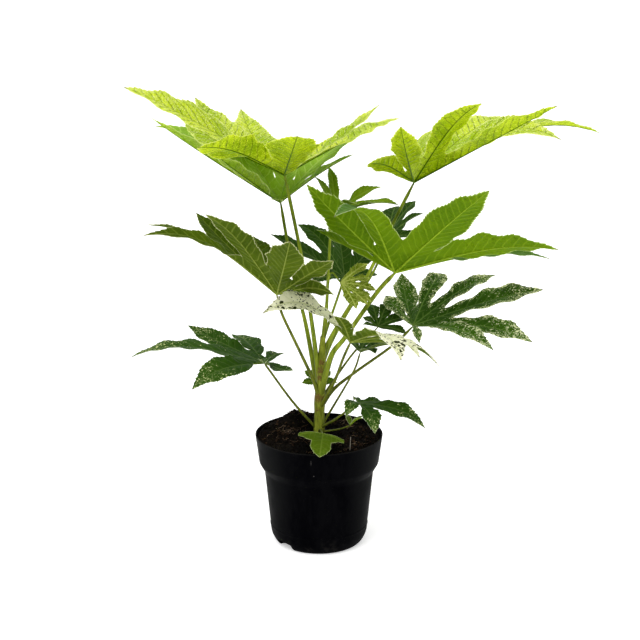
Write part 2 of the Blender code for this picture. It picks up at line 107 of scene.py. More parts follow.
# Stem: points up its middle line in mm with the radius at each
STEM_POINTS = (
    ((0, 0, 100), 7.0), ((0, 0, 150), 7.6), ((0.5, 0, 178), 7.0), ((1, 0, 196), 7.6),
    ((2, 0, 214), 6.8), ((3, 0, 231), 7.0), ((4, 0, 256), 5.4), ((5, 0, 284), 3.6),
)

# Blade outline, as in the part's source
HALF_WIDTH = 0.125
NECK_SHARE = 0.78
WIDEST_AT = 0.42
TIP_FULLNESS = 0.95
TIP_TAPER = 0.5
LATE_BOW = 3.4
SINUS_SHARE = 0.32
SINUS_ROUNDING = 10
WIDE_SINUS_ANGLE = 24
WIDE_SINUS_DEPTH = 0.9
WEB_SAG = 0.06
FOLD_ANGLE = 12
BASAL_HALF_GAP = 60
EDGE_CLEARANCE = 0.6 * MM
WEDGE_SHARE = 0.97

# Blade mesh and its relief
COLUMNS = 7
ROWS_A_TOOTH = (0.0, 0.5, 0.93)
WEB_ROW_STEP = 2.6 * MM
LEAST_WEB_ROWS = 6
LEAST_TEETH = 4
# The margin's swings in and out round a middle, as shares of the width, and the share of
# a lobe next to its neck that has neither swings nor teeth
SWING_MIDDLE = 1.02
SWING_REACH = 0.07
TOOTHLESS = 0.10
TOOTH_LEAN = 0.5
TOOTH_CREST = 0.96
WEB_BULGE = 0.10
BLADE_BULGE = 0.05
TWIST_LENGTH = 0.22
MARGIN_WAVE = 1.3 * MM
MARGIN_WAVELENGTH = 38 * MM
SIDE_WAVE_SHIFT = 2.0
MARGIN_NARROWING = 0.35
HUB_MARGIN = 30.0
VEIN_SLANT = 0.80
VEIN_CURVE = 9.0
PLEAT_REACH = 1.15
PLEAT_RISE = 0.2
PLEAT_FALLS_FROM = 0.8
BLADE_SHARP_ANGLE = 62
DECIMETRE = 0.1
# Half widths from which a blade has its full teeth, waves and pleats
WIDE_ENOUGH_FOR_TEETH = 6 * MM
WIDE_ENOUGH_FOR_WAVES = 14 * MM
WIDE_ENOUGH_FOR_PLEATS = 12 * MM
# Least share of the usual spacing, and the lobe's length that adds a whole one to it
TOOTH_GROWTH = (0.45, 0.30)
VEIN_GROWTH = (0.4, 0.25)

# Stalk and ribs
PETIOLE_STEPS = 26
STALK_SIDES = 14
STALK_SINK = 0.6
# A stalk's radius at its very end, as a share, and the steps over which it gets there
STALK_END = 0.5
STALK_END_STEPS = 4
SHEATH_SWELL = 0.8
RIB_STEPS = 16
RIB_SIDES = 8
RIB_END = 0.95
RIB_GIRTH = 0.52
RIB_GIRTH_RISE = 0.0075
RIB_LEAST = 0.2 * MM
RIB_TIP = 0.22 * MM
RIB_TAPER = 0.8
RIB_SINK = 0.35
RIB_SUFFIX = "_rib"

# A lobe: bearing from the leaf's heading, rise above its plane, length in mm, then roll
# about its own midrib, share of the usual width, and arch as a share of its length
Lobe = namedtuple("Lobe", "bearing rise length roll width arch", defaults=(0, 1.0, None))

# A leaf: hub in mm, heading, tilt and lean in degrees, its lobes, the petiole's points in
# mm from the stem to the hub, and its radius at the hub in mm. Then what its lobes share:
# arch, depth of the notches between them, width, place of the widest part, width at the
# neck and swings of the margin, and the leaf's colour
Leaf = namedtuple(
    "Leaf", "hub heading tilt lean lobes petiole girth arch sinus width widest neck swings colour",
    defaults=(0.05, SINUS_SHARE, 1.0, WIDEST_AT, NECK_SHARE, 7, "green"))

# A leaf's looks: finishes of its upper side, its underside and its stalk, how much it is
# pleated between its veins, and how long its teeth are
Look = namedtuple("Look", "upper under stalk pleat tooth", defaults=(1.0, 1.0))

LEAVES = {
    "leaf_top_left": Leaf(
        hub=(-44, -20, 503), heading=148, tilt=0, lean=4, arch=-0.04, sinus=0.36, colour="lime",
        lobes=((-123, 34, 158, 0, 0.7, -0.03), (-97, 14, 253, -6, 0.75, 0.02),
               (-42, 14, 254, 4, 0.8, -0.05), (-19, 22, 217, 0, 0.9, -0.05),
               (14, 28, 166, -26, 1.25, -0.07), (56, 27, 238, -28, 1.0, 0.02),
               (90, 14, 192, 30, 1.2, 0.05), (128, 22, 171, 0, 1.4, 0.0)),
        petiole=((0, 0, 222), (-8, -4, 294), (-22, -12, 391)), girth=2.3),
    "leaf_second_left": Leaf(
        hub=(-51, 45, 455), heading=137, tilt=-3, lean=3, arch=-0.01, sinus=0.28, widest=0.48,
        lobes=((-130, 32, 115, 0, 1.05, 0.03), (-92, 29, 154, 0, 1.2, 0.05),
               (-55, 24, 176, 0, 1.0, 0.03), (-17, 32, 190), (20, 27, 206, -6, 1.2, 0.08),
               (57, 34, 201, 6, 1.1), (92, 31, 150), (127, 10, 57, -6, 1.1)),
        petiole=((-1, 3, 206), (-16, 18, 288), (-25, 26, 326), (-41, 38, 400)), girth=2.1),
    "leaf_middle_left": Leaf(
        hub=(-53, -60, 357), heading=218, tilt=11, lean=0, arch=0.08, sinus=0.38, colour="olive",
        lobes=((-109, 23, 142, 0, 1.05, 0.01), (-76, 27, 172, -6, 1.2, -0.01),
               (-45, 18, 192, 10, 0.65, 0.10), (-12, 17, 198, -20, 0.65, 0.12),
               (16, 31, 193, 12, 0.75, 0.05), (54, 29, 175, -10, 1.1, -0.02),
               (78, 26, 152, -13, 0.9, 0.01), (97, 11, 99, -40, 1.3, 0.09)),
        petiole=((-1, -3, 205), (-9, -10, 231), (-30, -30, 284), (-47, -52, 329)), girth=1.8),
    "leaf_cream": Leaf(
        hub=(40, -75, 299), heading=317, tilt=-3, lean=-17, arch=0.14, widest=0.58, colour="cream",
        lobes=((-109, 6, 134, -30, 1.15, 0.21), (-72, 25, 75, 0, 1.2, 0.05), (-28, 2, 160),
               (-3, 4, 116), (36, -2, 117), (72, 1, 85), (108, 1, 70)),
        petiole=((2, -3, 188), (21, -32, 235), (31, -52, 270)), girth=1.7),
    "leaf_young_tip": Leaf(
        hub=(28, -30, 365), heading=350, tilt=-11, lean=22, arch=0.05, sinus=0.42, width=1.25,
        swings=5, colour="lime",
        lobes=((-55, -2, 53), (-35, -3, 51), (-15, -13, 47),
               (11, -8, 47), (38, -4, 42), (59, 8, 50, 0, 0.8)),
        petiole=((5, -1, 283), (10, -8, 335), (13, -18, 368), (18, -24, 376)), girth=1.3),
    "leaf_upper_centre": Leaf(
        hub=(21, 20, 445), heading=42, tilt=-7, lean=12, arch=0.08, sinus=0.42, swings=5,
        lobes=((-110, 31, 62, 0, 1.2), (-64, 25, 89, 0, 1.5), (-21, 38, 70, 0, 1.4),
               (22, 10, 50, 0, 1.2), (65, 32, 80, 0, 0.65), (109, 41, 55, 0, 1.1)),
        petiole=((5, 3, 280), (9, 9, 304), (12, 14, 366), (16, 20, 430)), girth=1.8),
    "leaf_middle_right": Leaf(
        hub=(96, -60, 386), heading=273, tilt=14, lean=-12, arch=0.03, sinus=0.30, widest=0.36,
        lobes=((-120, 17, 82, -9, 0.95, -0.02), (-98, 17, 114, 16, 1.5, 0.0),
               (-55, 26, 182, 33, 1.0, -0.01), (-27, 11, 223, 0, 0.75, 0.15),
               (19, 27, 236, -12, 0.85, 0.01), (61, 17, 214, -18, 1.1, 0.06),
               (93, 16, 200, 22, 0.7, 0.07), (132, 22, 144, 9, 1.05, 0.03)),
        petiole=((2, -2, 205), (16, -12, 261), (34, -20, 289), (74, -36, 353)), girth=2.8),
    "leaf_top_right": Leaf(
        hub=(122, 10, 488), heading=338, tilt=1, lean=-7, arch=0.01, widest=0.5, neck=0.55,
        colour="lime",
        lobes=((-99, 12, 126, 36, 0.95, 0.06), (-77, 22, 201, 0, 0.68, -0.02),
               (-47, 30, 209, 6, 0.82, 0.06), (-16, 27, 229, 0, 1.2, 0.0),
               (13, 18, 194, 32, 0.95, 0.18), (35, 15, 261, 0, 1.05, 0.12),
               (72, 22, 221, 10, 0.9, 0.06), (107, 17, 157, -30, 1.2, 0.11)),
        petiole=((3, 1, 252), (17, 4, 284), (60, 8, 358), (96, 10, 434)), girth=2.2),
    "leaf_back_centre": Leaf(
        hub=(34, 70, 347), heading=123, tilt=24, lean=7, arch=0.08, sinus=0.44, widest=0.38,
        colour="dark",
        lobes=((-141, 9, 35), (-101, 9, 50, 0, 1.3), (-60, 9, 97, 0, 1.3),
               (-20, 9, 106, 0, 1.3), (18, 13, 101, -12, 1.2, 0.12), (58, 15, 118, 0, 1.1, 0.02),
               (104, 5, 72), (141, 9, 50)),
        petiole=((3, 4, 266), (9, 18, 285), (24, 48, 322)), girth=1.6),
    "leaf_back_right": Leaf(
        hub=(93, 90, 399), heading=72, tilt=9, lean=-16, arch=0.05, sinus=0.5, width=1.9,
        swings=5, colour="dark",
        lobes=((-110, -6, 46), (-74, 17, 57), (-35, 23, 66), (0, 18, 66),
               (37, 16, 50), (74, 10, 35), (110, 10, 30)),
        petiole=((3, 4, 240), (16, 18, 270), (40, 38, 310), (72, 58, 356)), girth=1.6),
    "leaf_speckled_right": Leaf(
        hub=(123, 0, 299), heading=16, tilt=5, lean=6, arch=0.0, widest=0.55, neck=0.5, colour="dark",
        lobes=((-100, -5, 50, 0, 0.9, 0.15), (-71, 6, 161, 12, 0.62, 0.09),
               (-43, 0, 165, 14, 0.88, 0.08), (-15, 13, 176, 6, 1.08, 0.03),
               (17, 14, 145, 0, 0.82, 0.06), (50, 11, 130, 12, 0.86, 0.1),
               (77, 11, 131, 4, 1.0, -0.08), (94, 6, 92, -12)),
        petiole=((2, 1, 185), (19, 0, 211), (45, 0, 233), (97, 0, 272)), girth=1.8),
    "leaf_low_left": Leaf(
        hub=(-71, -20, 254), heading=189, tilt=4, lean=1, arch=0.08, widest=0.44, colour="dark",
        lobes=((-121, 1, 50, 0, 1.9, 0.08), (-77, 2, 123, 4, 1.1, 0.06),
               (-41, 12, 129, -18, 0.95, -0.01), (-4, 0, 174, 0, 1.0, 0.1),
               (37, -7, 127, -24, 1.2, 0.1), (82, 14, 50, 10, 1.2, 0.12),
               (109, 9, 82, 16, 0.8, -0.04)),
        petiole=((0, 0, 153), (-8, -3, 163), (-36, -10, 199), (-63, -16, 240)), girth=1.5),
    "leaf_low_right": Leaf(
        hub=(50, -60, 213), heading=349, tilt=-13, lean=-4, arch=0.16, sinus=0.4, swings=6,
        widest=0.36, colour="dark",
        lobes=((-96, -8, 54, 0, 1.3, 0.2), (-52, -20, 60, 16, 1.6, 0.15),
               (-8, -3, 94, 24, 1.15, 0.11), (46, -6, 50, 10, 1.2, 0.1), (106, -14, 32)),
        petiole=((3, -3, 160), (19, -21, 175), (35, -41, 194)), girth=1.4),
    "leaf_small_folded": Leaf(
        hub=(41, -30, 172), heading=30, tilt=-10, lean=-10, arch=0.10, swings=4, width=1.4,
        lobes=((-71, 30, 22), (0, 26, 27), (74, 30, 20)),
        petiole=((2, -1, 152), (14, -10, 157), (28, -20, 163)), girth=1.1),
    "leaf_small_front": Leaf(
        hub=(5, -50, 167), heading=265, tilt=-8, lean=-7, arch=0.08, sinus=0.9, width=1.5,
        swings=4, lobes=((-66, -1, 34, 0, 0.7), (1, -18, 43, 0, 1.15), (65, -5, 32, 0, 0.7)),
        petiole=((0, -3, 153), (2, -20, 162)), girth=1.2),
    "leaf_small_behind": Leaf(
        hub=(0, 45, 208), heading=95, tilt=38, lean=0, arch=0.08, width=1.8, swings=4,
        lobes=((-104, 10, 25), (-52, 10, 22), (0, 12, 18), (52, 10, 25),
               (102, 10, 25)),
        petiole=((1, 3, 192), (1, 18, 200)), girth=1.1),
    "leaf_under_cream": Leaf(
        hub=(54, -10, 266), heading=21, tilt=-7, lean=-6, arch=0.08, width=1.35, swings=5,
        colour="dark",
        lobes=((-91, 7, 51), (-57, 18, 54), (-19, 13, 54), (19, 11, 48),
               (57, 13, 44), (89, 10, 39)),
        petiole=((1, 1, 156), (15, 2, 180), (45, -6, 237)), girth=1.3),
    "leaf_behind_speckled": Leaf(
        hub=(79, 45, 285), heading=85, tilt=16, lean=7, arch=0.08, width=1.9, swings=5,
        colour="dark",
        lobes=((-108, 3, 41), (-65, 12, 43), (-13, 17, 45), (16, 12, 43),
               (65, 12, 25), (108, 12, 22)),
        petiole=((2, 3, 195), (15, 15, 212), (46, 38, 250)), girth=1.4),
}

LOOKS = {
    "leaf_top_left": Look("lime_upper", "lime_under", "stalk_pale", 1.5, 1.5),
    "leaf_second_left": Look("fresh_upper", "fresh_under", "stalk_pale", 1.0, 1.2),
    "leaf_middle_left": Look("olive_under", "olive_under", "stalk_olive", 1.2),
    "leaf_cream": Look("cream_upper", "olive_under", "stalk_olive", 0.8),
    "leaf_young_tip": Look("young_upper", "young_upper", "stalk_pale", 2.6, 1.8),
    "leaf_upper_centre": Look("green_upper", "green_under", "stalk_pale"),
    "leaf_middle_right": Look("deep_upper", "bright_under", "stalk_pale", 1.3, 1.2),
    "leaf_top_right": Look("lime_upper", "lime_under", "stalk_pale", 1.5, 1.5),
    "leaf_back_centre": Look("dark_upper", "dark_under", "stalk_pale"),
    "leaf_back_right": Look("dark_upper", "dark_under", "stalk_pale"),
    "leaf_speckled_right": Look("flecked_upper", "dark_under", "stalk_olive", 1.4),
    "leaf_low_left": Look("edged_upper", "dark_under", "stalk_olive", 1.2),
    "leaf_low_right": Look("edged_upper", "dark_under", "stalk_olive", 1.2),
    "leaf_small_folded": Look("bright_upper", "bright_under", "stalk_olive"),
    "leaf_small_front": Look("bright_upper", "bright_under", "stalk_pale", 0.8, 0.6),
    "leaf_small_behind": Look("bright_upper", "bright_under", "stalk_olive"),
    "leaf_under_cream": Look("dark_upper", "dark_under", "stalk_olive"),
    "leaf_behind_speckled": Look("dark_upper", "dark_under", "stalk_olive"),
}

# A blade's finish: body and deeper colour, the veins' colour and how strongly side veins
# and net show, the margin's colour and width in mm, the flecks' colour, how much they cover
# at the middle, margin and tip and their size in mm, the share and colour of the light that
# passes through, the strength of the relief, and the roughness
Finish = namedtuple(
    "Finish",
    "body deep vein side net margin margin_width fleck cover edge_cover tip_cover"
    " fleck_size glow glow_colour relief rough",
    defaults=((0.80, 0.82, 0.52), 0.0, 0.0, 0.0, 1.3, 0.22, (0.45, 0.70, 0.05), 1.0, 0.48))

FINISHES = {
    "lime_upper": Finish(
        (0.80, 0.92, 0.040), (0.42, 0.60, 0.010), (0.10, 0.19, 0.003), 1.0, 0.40,
        (0.90, 0.94, 0.30), 1.2, (0.92, 0.97, 0.34), 0.10, 0.14, 0.1, 0.9,
        glow=0.20, glow_colour=(0.85, 0.98, 0.02)),
    "lime_under": Finish(
        (0.60, 0.77, 0.001), (0.28, 0.46, 0.001), (0.08, 0.17, 0.001), 1.0, 0.40,
        (0.86, 0.94, 0.10), 1.2, (0.84, 0.93, 0.05), 0.14, 0.10, 0.1, 0.9,
        glow=0.20, glow_colour=(0.82, 0.98, 0.002)),
    "fresh_under": Finish(
        (0.44, 0.62, 0.014), (0.26, 0.44, 0.010), (0.10, 0.20, 0.006), 0.8, 0.40,
        (0.80, 0.88, 0.30), 1.4, (0.66, 0.80, 0.12), 0.08, 0.08, 0.1, 0.9,
        glow=0.28, glow_colour=(0.80, 0.96, 0.01)),
    "fresh_upper": Finish(
        (0.31, 0.50, 0.036), (0.16, 0.32, 0.020), (0.52, 0.68, 0.15), 0.7, 0.30,
        (0.82, 0.90, 0.30), 1.2, glow=0.30, glow_colour=(0.62, 0.88, 0.05)),
    "green_upper": Finish(
        (0.17, 0.28, 0.004), (0.12, 0.21, 0.003), (0.27, 0.38, 0.03), 0.5, 0.25,
        (0.62, 0.70, 0.30), 0.8, glow=0.24, glow_colour=(0.45, 0.70, 0.01)),
    "deep_upper": Finish(
        (0.070, 0.155, 0.026), (0.050, 0.120, 0.018), (0.20, 0.32, 0.08), 0.5, 0.22,
        (0.55, 0.64, 0.30), 0.8, glow=0.24, glow_colour=(0.45, 0.70, 0.01)),
    "green_under": Finish(
        (0.17, 0.28, 0.003), (0.12, 0.21, 0.002), (0.24, 0.34, 0.02), 0.5, 0.3,
        (0.62, 0.70, 0.30), 0.8, glow=0.26, glow_colour=(0.42, 0.66, 0.01)),
    "bright_upper": Finish(
        (0.090, 0.155, 0.004), (0.060, 0.115, 0.003), (0.19, 0.28, 0.03), 0.5, 0.25,
        (0.60, 0.68, 0.30), 0.7, glow=0.2, glow_colour=(0.34, 0.58, 0.01)),
    "bright_under": Finish(
        (0.135, 0.235, 0.001), (0.080, 0.165, 0.001), (0.30, 0.44, 0.02), 0.50, 0.22,
        (0.68, 0.80, 0.24), 1.0, glow=0.26, glow_colour=(0.50, 0.78, 0.005)),
    "olive_under": Finish(
        (0.075, 0.120, 0.003), (0.048, 0.086, 0.002), (0.27, 0.33, 0.05), 0.40, 0.10,
        (0.66, 0.68, 0.34), 0.9, glow=0.18, glow_colour=(0.36, 0.52, 0.01), rough=0.6),
    "young_upper": Finish(
        (0.26, 0.35, 0.004), (0.12, 0.19, 0.002), (0.80, 0.84, 0.22), 0.95, 0.1,
        (0.66, 0.68, 0.20), 0.5, (0.62, 0.66, 0.14), 0.06, 0.14, 0.08, 0.9,
        glow=0.28, glow_colour=(0.60, 0.75, 0.01)),
    "dark_upper": Finish(
        (0.026, 0.082, 0.003), (0.016, 0.056, 0.002), (0.14, 0.22, 0.05), 0.5, 0.2,
        (0.42, 0.50, 0.25), 0.4, glow=0.12, glow_colour=(0.20, 0.42, 0.01)),
    "dark_under": Finish(
        (0.085, 0.14, 0.012), (0.06, 0.11, 0.008), (0.17, 0.22, 0.05), 0.5, 0.25,
        (0.46, 0.52, 0.28), 0.5, glow=0.14, glow_colour=(0.26, 0.45, 0.01), rough=0.6),
    "flecked_upper": Finish(
        (0.046, 0.130, 0.003), (0.020, 0.066, 0.002), (0.18, 0.30, 0.06), 0.50, 0.12,
        (0.70, 0.75, 0.45), 0.3, (0.88, 0.91, 0.52), 0.004, 0.25, 0.12, 1.7,
        glow=0.12, glow_colour=(0.24, 0.46, 0.01)),
    "edged_upper": Finish(
        (0.036, 0.098, 0.006), (0.022, 0.070, 0.004), (0.11, 0.19, 0.04), 0.45, 0.12,
        (0.52, 0.60, 0.36), 0.3, (0.66, 0.72, 0.30), 0.0005, 0.003, 0.12, 1.6,
        glow=0.12, glow_colour=(0.20, 0.42, 0.01)),
    "cream_upper": Finish(
        (0.99, 0.98, 0.74), (0.98, 0.97, 0.68), (0.66, 0.70, 0.30), 0.30, 0.05,
        (0.98, 0.98, 0.74), 0.9, (0.016, 0.022, 0.003), 0.13, 0.0, 0.10, 4.0,
        glow=0.08, glow_colour=(0.99, 0.99, 0.70)),
}

# Stalks: light and deep colour, then their specks, the colour painted at their foot as shade
# where they crowd at the stem, and how much of the deep colour is left in the painted shade
# at their sides
STALKS = {
    "stalk_pale": ((0.36, 0.45, 0.034), (0.13, 0.19, 0.007)),
    "stalk_olive": ((0.19, 0.22, 0.018), (0.08, 0.105, 0.006)),
}
STALK_SPECK = (0.40, 0.44, 0.14)
STALK_FOOT_SHADE = (0.13, 0.15, 0.010)
SIDE_SHADE_SHARE = 0.24

# The midrib's width in mm at the hub and at the least, and its change for each mm
MIDRIB_WIDTH = 1.15
MIDRIB_TIP_WIDTH = 0.35
MIDRIB_TAPER = -0.004
# Size in mm of the net's cells, its lines in shares of a cell, and the side veins' sway
# and lines in shares of the gap between two of them
NET_SIZE = 3.4
CELL_LINE = 0.02
VEIN_SWAY = 0.5
SIDE_VEIN_LINE = (0.39, 0.465)
# How far in from the margin, in mm, a blade's edge flecks reach
FLECK_REACH = 7.5
# Where along a lobe its dry brown tip begins and is full
DRY_TIP = (0.975, 0.995)
DRY_BROWN = (0.10, 0.075, 0.03)

# Brown scars left on the stem by fallen leaves: place in mm, and size in mm
STEM_SCARS = (
    ((0, -7.6, 201), 6.0), ((-4, -6.5, 205), 4.5), ((1, -6.8, 239), 5.5), ((3.5, -6.4, 229), 4.5),
    ((3, -6, 250), 3.5), ((-3, -6, 184), 3.0), ((6, 4, 194), 4.0), ((-5, 5, 224), 3.5),
)
STEM_RINGS = 90
STEM_SIDES = 40
STEM_ROUGHNESS = 0.35 * MM
# Fineness of the bark's unevenness in each metre, across the stem and along it
BARK_FINENESS = (260, 90)
# Height of the ridge round a scar, its place as a share of the scar's size, and how narrow
SCAR_RIDGE = 0.5 * MM
RIDGE_PLACE = 0.9
RIDGE_NARROWNESS = 3.2
SCAR_RAGGEDNESS = 12 * MM

# Small scuffs on the pot's front: place, half width and half height, and depth, in mm
POT_MARKS = (((-6.7, -80.6, 119.3), 1.0, 0.9), ((-10.3, -82, 138.3), 0.4, 4.3))
POT_MARK_DEPTH = 4
POT_MARK_GREY = (0.16, 0.15, 0.14)
# How high the dust of the foot reaches, and the heights between which the lip turns lighter
DUST_HEIGHT = 30 * MM
LIGHTER_LIP = (148.5 * MM, 149.9 * MM)
# How far from the middle plane the painted sheen of the pot's sides begins, and is full
SHEEN_SIDES = (30 * MM, 80 * MM)
POT_SHARP_ANGLE = 35

# How far from the middle plane the soil turns from dark, painted shade under the plant, to its own
# brown
SHADED_MIDDLE = (14 * MM, 52 * MM)
SOIL_SPECK = (0.09, 0.062, 0.042)
# How far from the middle crumbs and fibres lie
CRUMB_REACH = 79 * MM
FIBRE_REACH = 70 * MM
# A dry twig that stands in the soil: points and radii in mm
TWIG = (((40.2, -54, 138), 0.55), ((40.6, -54, 150), 0.6), ((41.2, -53.6, 163.5), 0.4))
TWIG_PALE = (0.42, 0.38, 0.32)
TWIG_GREY = (0.20, 0.17, 0.14)

# The photograph's own viewpoint, fitted to the pot, and the studio
CAMERA_PLACE = (0.0013, -2.0, 0.861)
CAMERA_TURN = (74.51, 0, 0)
CAMERA_LENS = 89.16
CAMERA_SENSOR = 36
FLOOR_SIZE = 80
FLOOR_GLOW = 0.45
FRONT_GREY = (0.16, 0.16, 0.17)
KEY_TURN = (28, -18, 0)
KEY_SOFTNESS = 35


class Nodes:
    """Short calls to add, set and link the nodes of one tree."""

    def __init__(self, tree):
        self.tree = tree

    def put(self, socket, value):
        if isinstance(value, bpy.types.NodeSocket):
            self.tree.links.new(value, socket)
        elif value is not None:
            is_colour = socket.type == "RGBA" and len(value) == 3
            socket.default_value = (*value, 1.0) if is_colour else value

    def add(self, kind, values=None, **settings):
        node = self.tree.nodes.new(kind)
        for name, value in settings.items():
            setattr(node, name, value)
        for name, value in (values or {}).items():
            self.put(node.inputs[name], value)
        return node

    def worked(self, kind, operation, values):
        return self.add(kind, dict(enumerate(values)), operation=operation).outputs

    def math(self, operation, *values):
        return self.worked("ShaderNodeMath", operation, values)[0]

    def vector(self, operation, *values):
        return self.worked("ShaderNodeVectorMath", operation, values)["Vector"]

    def length(self, vector):
        return self.worked("ShaderNodeVectorMath", "LENGTH", [vector])["Value"]

    def scaled(self, vector, scale):
        return self.add("ShaderNodeVectorMath", {0: vector, "Scale": scale},
                        operation="SCALE").outputs["Vector"]

    def times(self, first, second):
        return self.math("MULTIPLY", first, second)

    def times_plus(self, first, second, more):
        return self.math("MULTIPLY_ADD", first, second, more)

    def minus(self, first, second):
        return self.math("SUBTRACT", first, second)

    def most(self, first, second):
        return self.math("MAXIMUM", first, second)

    def absolute(self, value):
        return self.math("ABSOLUTE", value)

    def mix(self, share, first, second):
        node = self.add("ShaderNodeMix", data_type="RGBA")
        sockets = {socket.identifier: socket for socket in node.inputs}
        self.put(sockets["Factor_Float"], share)
        self.put(sockets["A_Color"], first)
        self.put(sockets["B_Color"], second)
        return next(s for s in node.outputs if s.identifier == "Result_Color")

    def band(self, value, low, high, start=0.0, end=1.0):
        """Go smoothly from start to end as value goes from low to high."""
        return self.add("ShaderNodeMapRange", {
            "Value": value, "From Min": low, "From Max": high, "To Min": start, "To Max": end,
        }, interpolation_type="SMOOTHSTEP").outputs[0]

    def falling(self, value, low, high):
        """Fall smoothly from one to zero as value goes from low to high."""
        return self.minus(1.0, self.band(value, low, high))

    def clouds(self, place, scale, detail=2.0, rough=0.5):
        return self.add("ShaderNodeTexNoise", {
            "Vector": place, "Scale": scale, "Detail": detail, "Roughness": rough}).outputs

    def noise(self, *values):
        return self.clouds(*values)["Fac"]

    def cell_lines(self, place, scale, width):
        """Thin lines between the cells of an uneven pattern."""
        cells = self.add("ShaderNodeTexVoronoi", {"Vector": place, "Scale": scale},
                         feature="DISTANCE_TO_EDGE")
        return self.falling(cells.outputs["Distance"], CELL_LINE, width)

    def attribute(self, name):
        return self.add("ShaderNodeAttribute", attribute_name=name).outputs["Fac"]

    def parts(self, vector):
        return self.add("ShaderNodeSeparateXYZ", {"Vector": vector}).outputs

    def from_parts(self, x, y, z):
        return self.add("ShaderNodeCombineXYZ", {"X": x, "Y": y, "Z": z}).outputs[0]

    def random(self, low, high, seed):
        """A random number or vector for each point, between low and high."""
        is_vector = isinstance(high, tuple)
        node = self.add("FunctionNodeRandomValue", {"Seed": seed},
                        data_type="FLOAT_VECTOR" if is_vector else "FLOAT")
        sockets = {socket.identifier: socket for socket in node.inputs}
        self.put(sockets["Min" if is_vector else "Min_001"], low)
        self.put(sockets["Max" if is_vector else "Max_001"], high)
        return next(s for s in node.outputs if s.enabled)

    def group(self, name, build, values):
        """A shared group in this tree, built at its first use."""
        tree = shared_tree(name, build)
        return self.add("ShaderNodeGroup", values, node_tree=tree).outputs


def shared_tree(name, build):
    """A node tree by its name, built at its first use."""
    return bpy.data.node_groups.get(name) or build(name)


def new_tree(kind, name, inputs, outputs):
    """An empty tree, from its inputs' default numbers or kinds and its outputs' names."""
    tree = bpy.data.node_groups.new(name, kind + "NodeTree")
    for label, value in inputs.items():
        given = value if isinstance(value, str) else type(value).__name__.title()
        socket = tree.interface.new_socket(
            label, in_out="INPUT", socket_type="NodeSocket" + given)
        if given != value:
            socket.default_value = value
    result = "NodeSocketGeometry" if kind == "Geometry" else "NodeSocketFloat"
    for label in outputs:
        tree.interface.new_socket(label, in_out="OUTPUT", socket_type=result)
    nodes = Nodes(tree)
    return nodes, nodes.add("NodeGroupInput").outputs, nodes.add("NodeGroupOutput").inputs


def build_veins(name):
    """Midrib, side veins and the fine net between them, from the blade's own map."""
    nodes, inlet, outlet = new_tree(
        "Shader", name, {"Plan": "Vector", "Vein": 0.0, "Margin": 0.0, "Net Size": NET_SIZE},
        ["Midrib", "Side Veins", "Net", "Relief"])
    plan = nodes.parts(inlet["Plan"])
    across = nodes.absolute(nodes.times(plan["Y"], 100.0))
    along = nodes.times(plan["X"], 100.0)
    width = nodes.most(nodes.times_plus(along, MIDRIB_TAPER, MIDRIB_WIDTH), MIDRIB_TIP_WIDTH)
    midrib = nodes.falling(across, nodes.times(width, 0.35), nodes.times(width, 1.5))
    sway = nodes.times_plus(nodes.noise(inlet["Plan"], 9.0), VEIN_SWAY, -VEIN_SWAY / 2)
    shaken = nodes.math("ADD", inlet["Vein"], sway)
    line = nodes.band(nodes.absolute(nodes.minus(nodes.math("FRACT", shaken), 0.5)), *SIDE_VEIN_LINE)
    side = nodes.times(line, nodes.band(inlet["Margin"], 0.2, 3.5, 0.25))
    cells = nodes.math("DIVIDE", 100.0, inlet["Net Size"])
    coarse = nodes.cell_lines(inlet["Plan"], cells, 0.16)
    fine = nodes.cell_lines(inlet["Plan"], nodes.times(cells, 2.6), 0.20)
    net = nodes.most(coarse, nodes.times(fine, 0.5))
    nodes.put(outlet["Midrib"], midrib)
    nodes.put(outlet["Side Veins"], side)
    nodes.put(outlet["Net"], net)
    nodes.put(outlet["Relief"], nodes.most(nodes.most(midrib, side), nodes.times(net, 0.4)))
    return nodes.tree


def build_flecks(name):
    """Small uneven flecks that cover a given share of the surface, in looser patches."""
    nodes, inlet, outlet = new_tree(
        "Shader", name, {"Place": "Vector", "Size": 1.3, "Cover": 0.2}, ["Flecks"])
    cells = nodes.math("DIVIDE", 1000.0, inlet["Size"])
    bend = nodes.scaled(nodes.clouds(inlet["Place"], cells)["Color"],
                        nodes.math("DIVIDE", 0.9, cells))
    bent = nodes.vector("ADD", inlet["Place"], bend)
    patches = nodes.noise(inlet["Place"], nodes.times(cells, 0.13), 3.0, 0.6)
    cover = nodes.times(inlet["Cover"], nodes.band(patches, 0.34, 0.66, 0.25, 1.1))
    flecks = 0.0
    for finer in (1.0, 2.1):
        cell = nodes.add("ShaderNodeTexVoronoi", {
            "Vector": bent, "Scale": nodes.times(cells, finer)})
        chance = nodes.add("ShaderNodeSeparateColor", {"Color": cell.outputs["Color"]})
        flecks = nodes.most(nodes.math("LESS_THAN", chance.outputs[0], cover), flecks)
    nodes.put(outlet["Flecks"], flecks)
    return nodes.tree


def build_grain(name):
    """A tone that varies in two sizes, and a fine relief, for plastic, bark and stalks."""
    nodes, inlet, outlet = new_tree(
        "Shader", name, {"Place": "Vector", "Scale": 60.0, "Stretch": 1.0}, ["Tone", "Relief"])
    place = nodes.parts(inlet["Place"])
    drawn = nodes.from_parts(
        place["X"], place["Y"], nodes.math("DIVIDE", place["Z"], inlet["Stretch"]))
    broad = nodes.noise(drawn, nodes.times(inlet["Scale"], 0.22), 3.0)
    close = nodes.noise(drawn, inlet["Scale"], 4.0, 0.65)
    nodes.put(outlet["Tone"], nodes.times_plus(close, 0.4, nodes.times(broad, 0.6)))
    nodes.put(outlet["Relief"], close)
    return nodes.tree


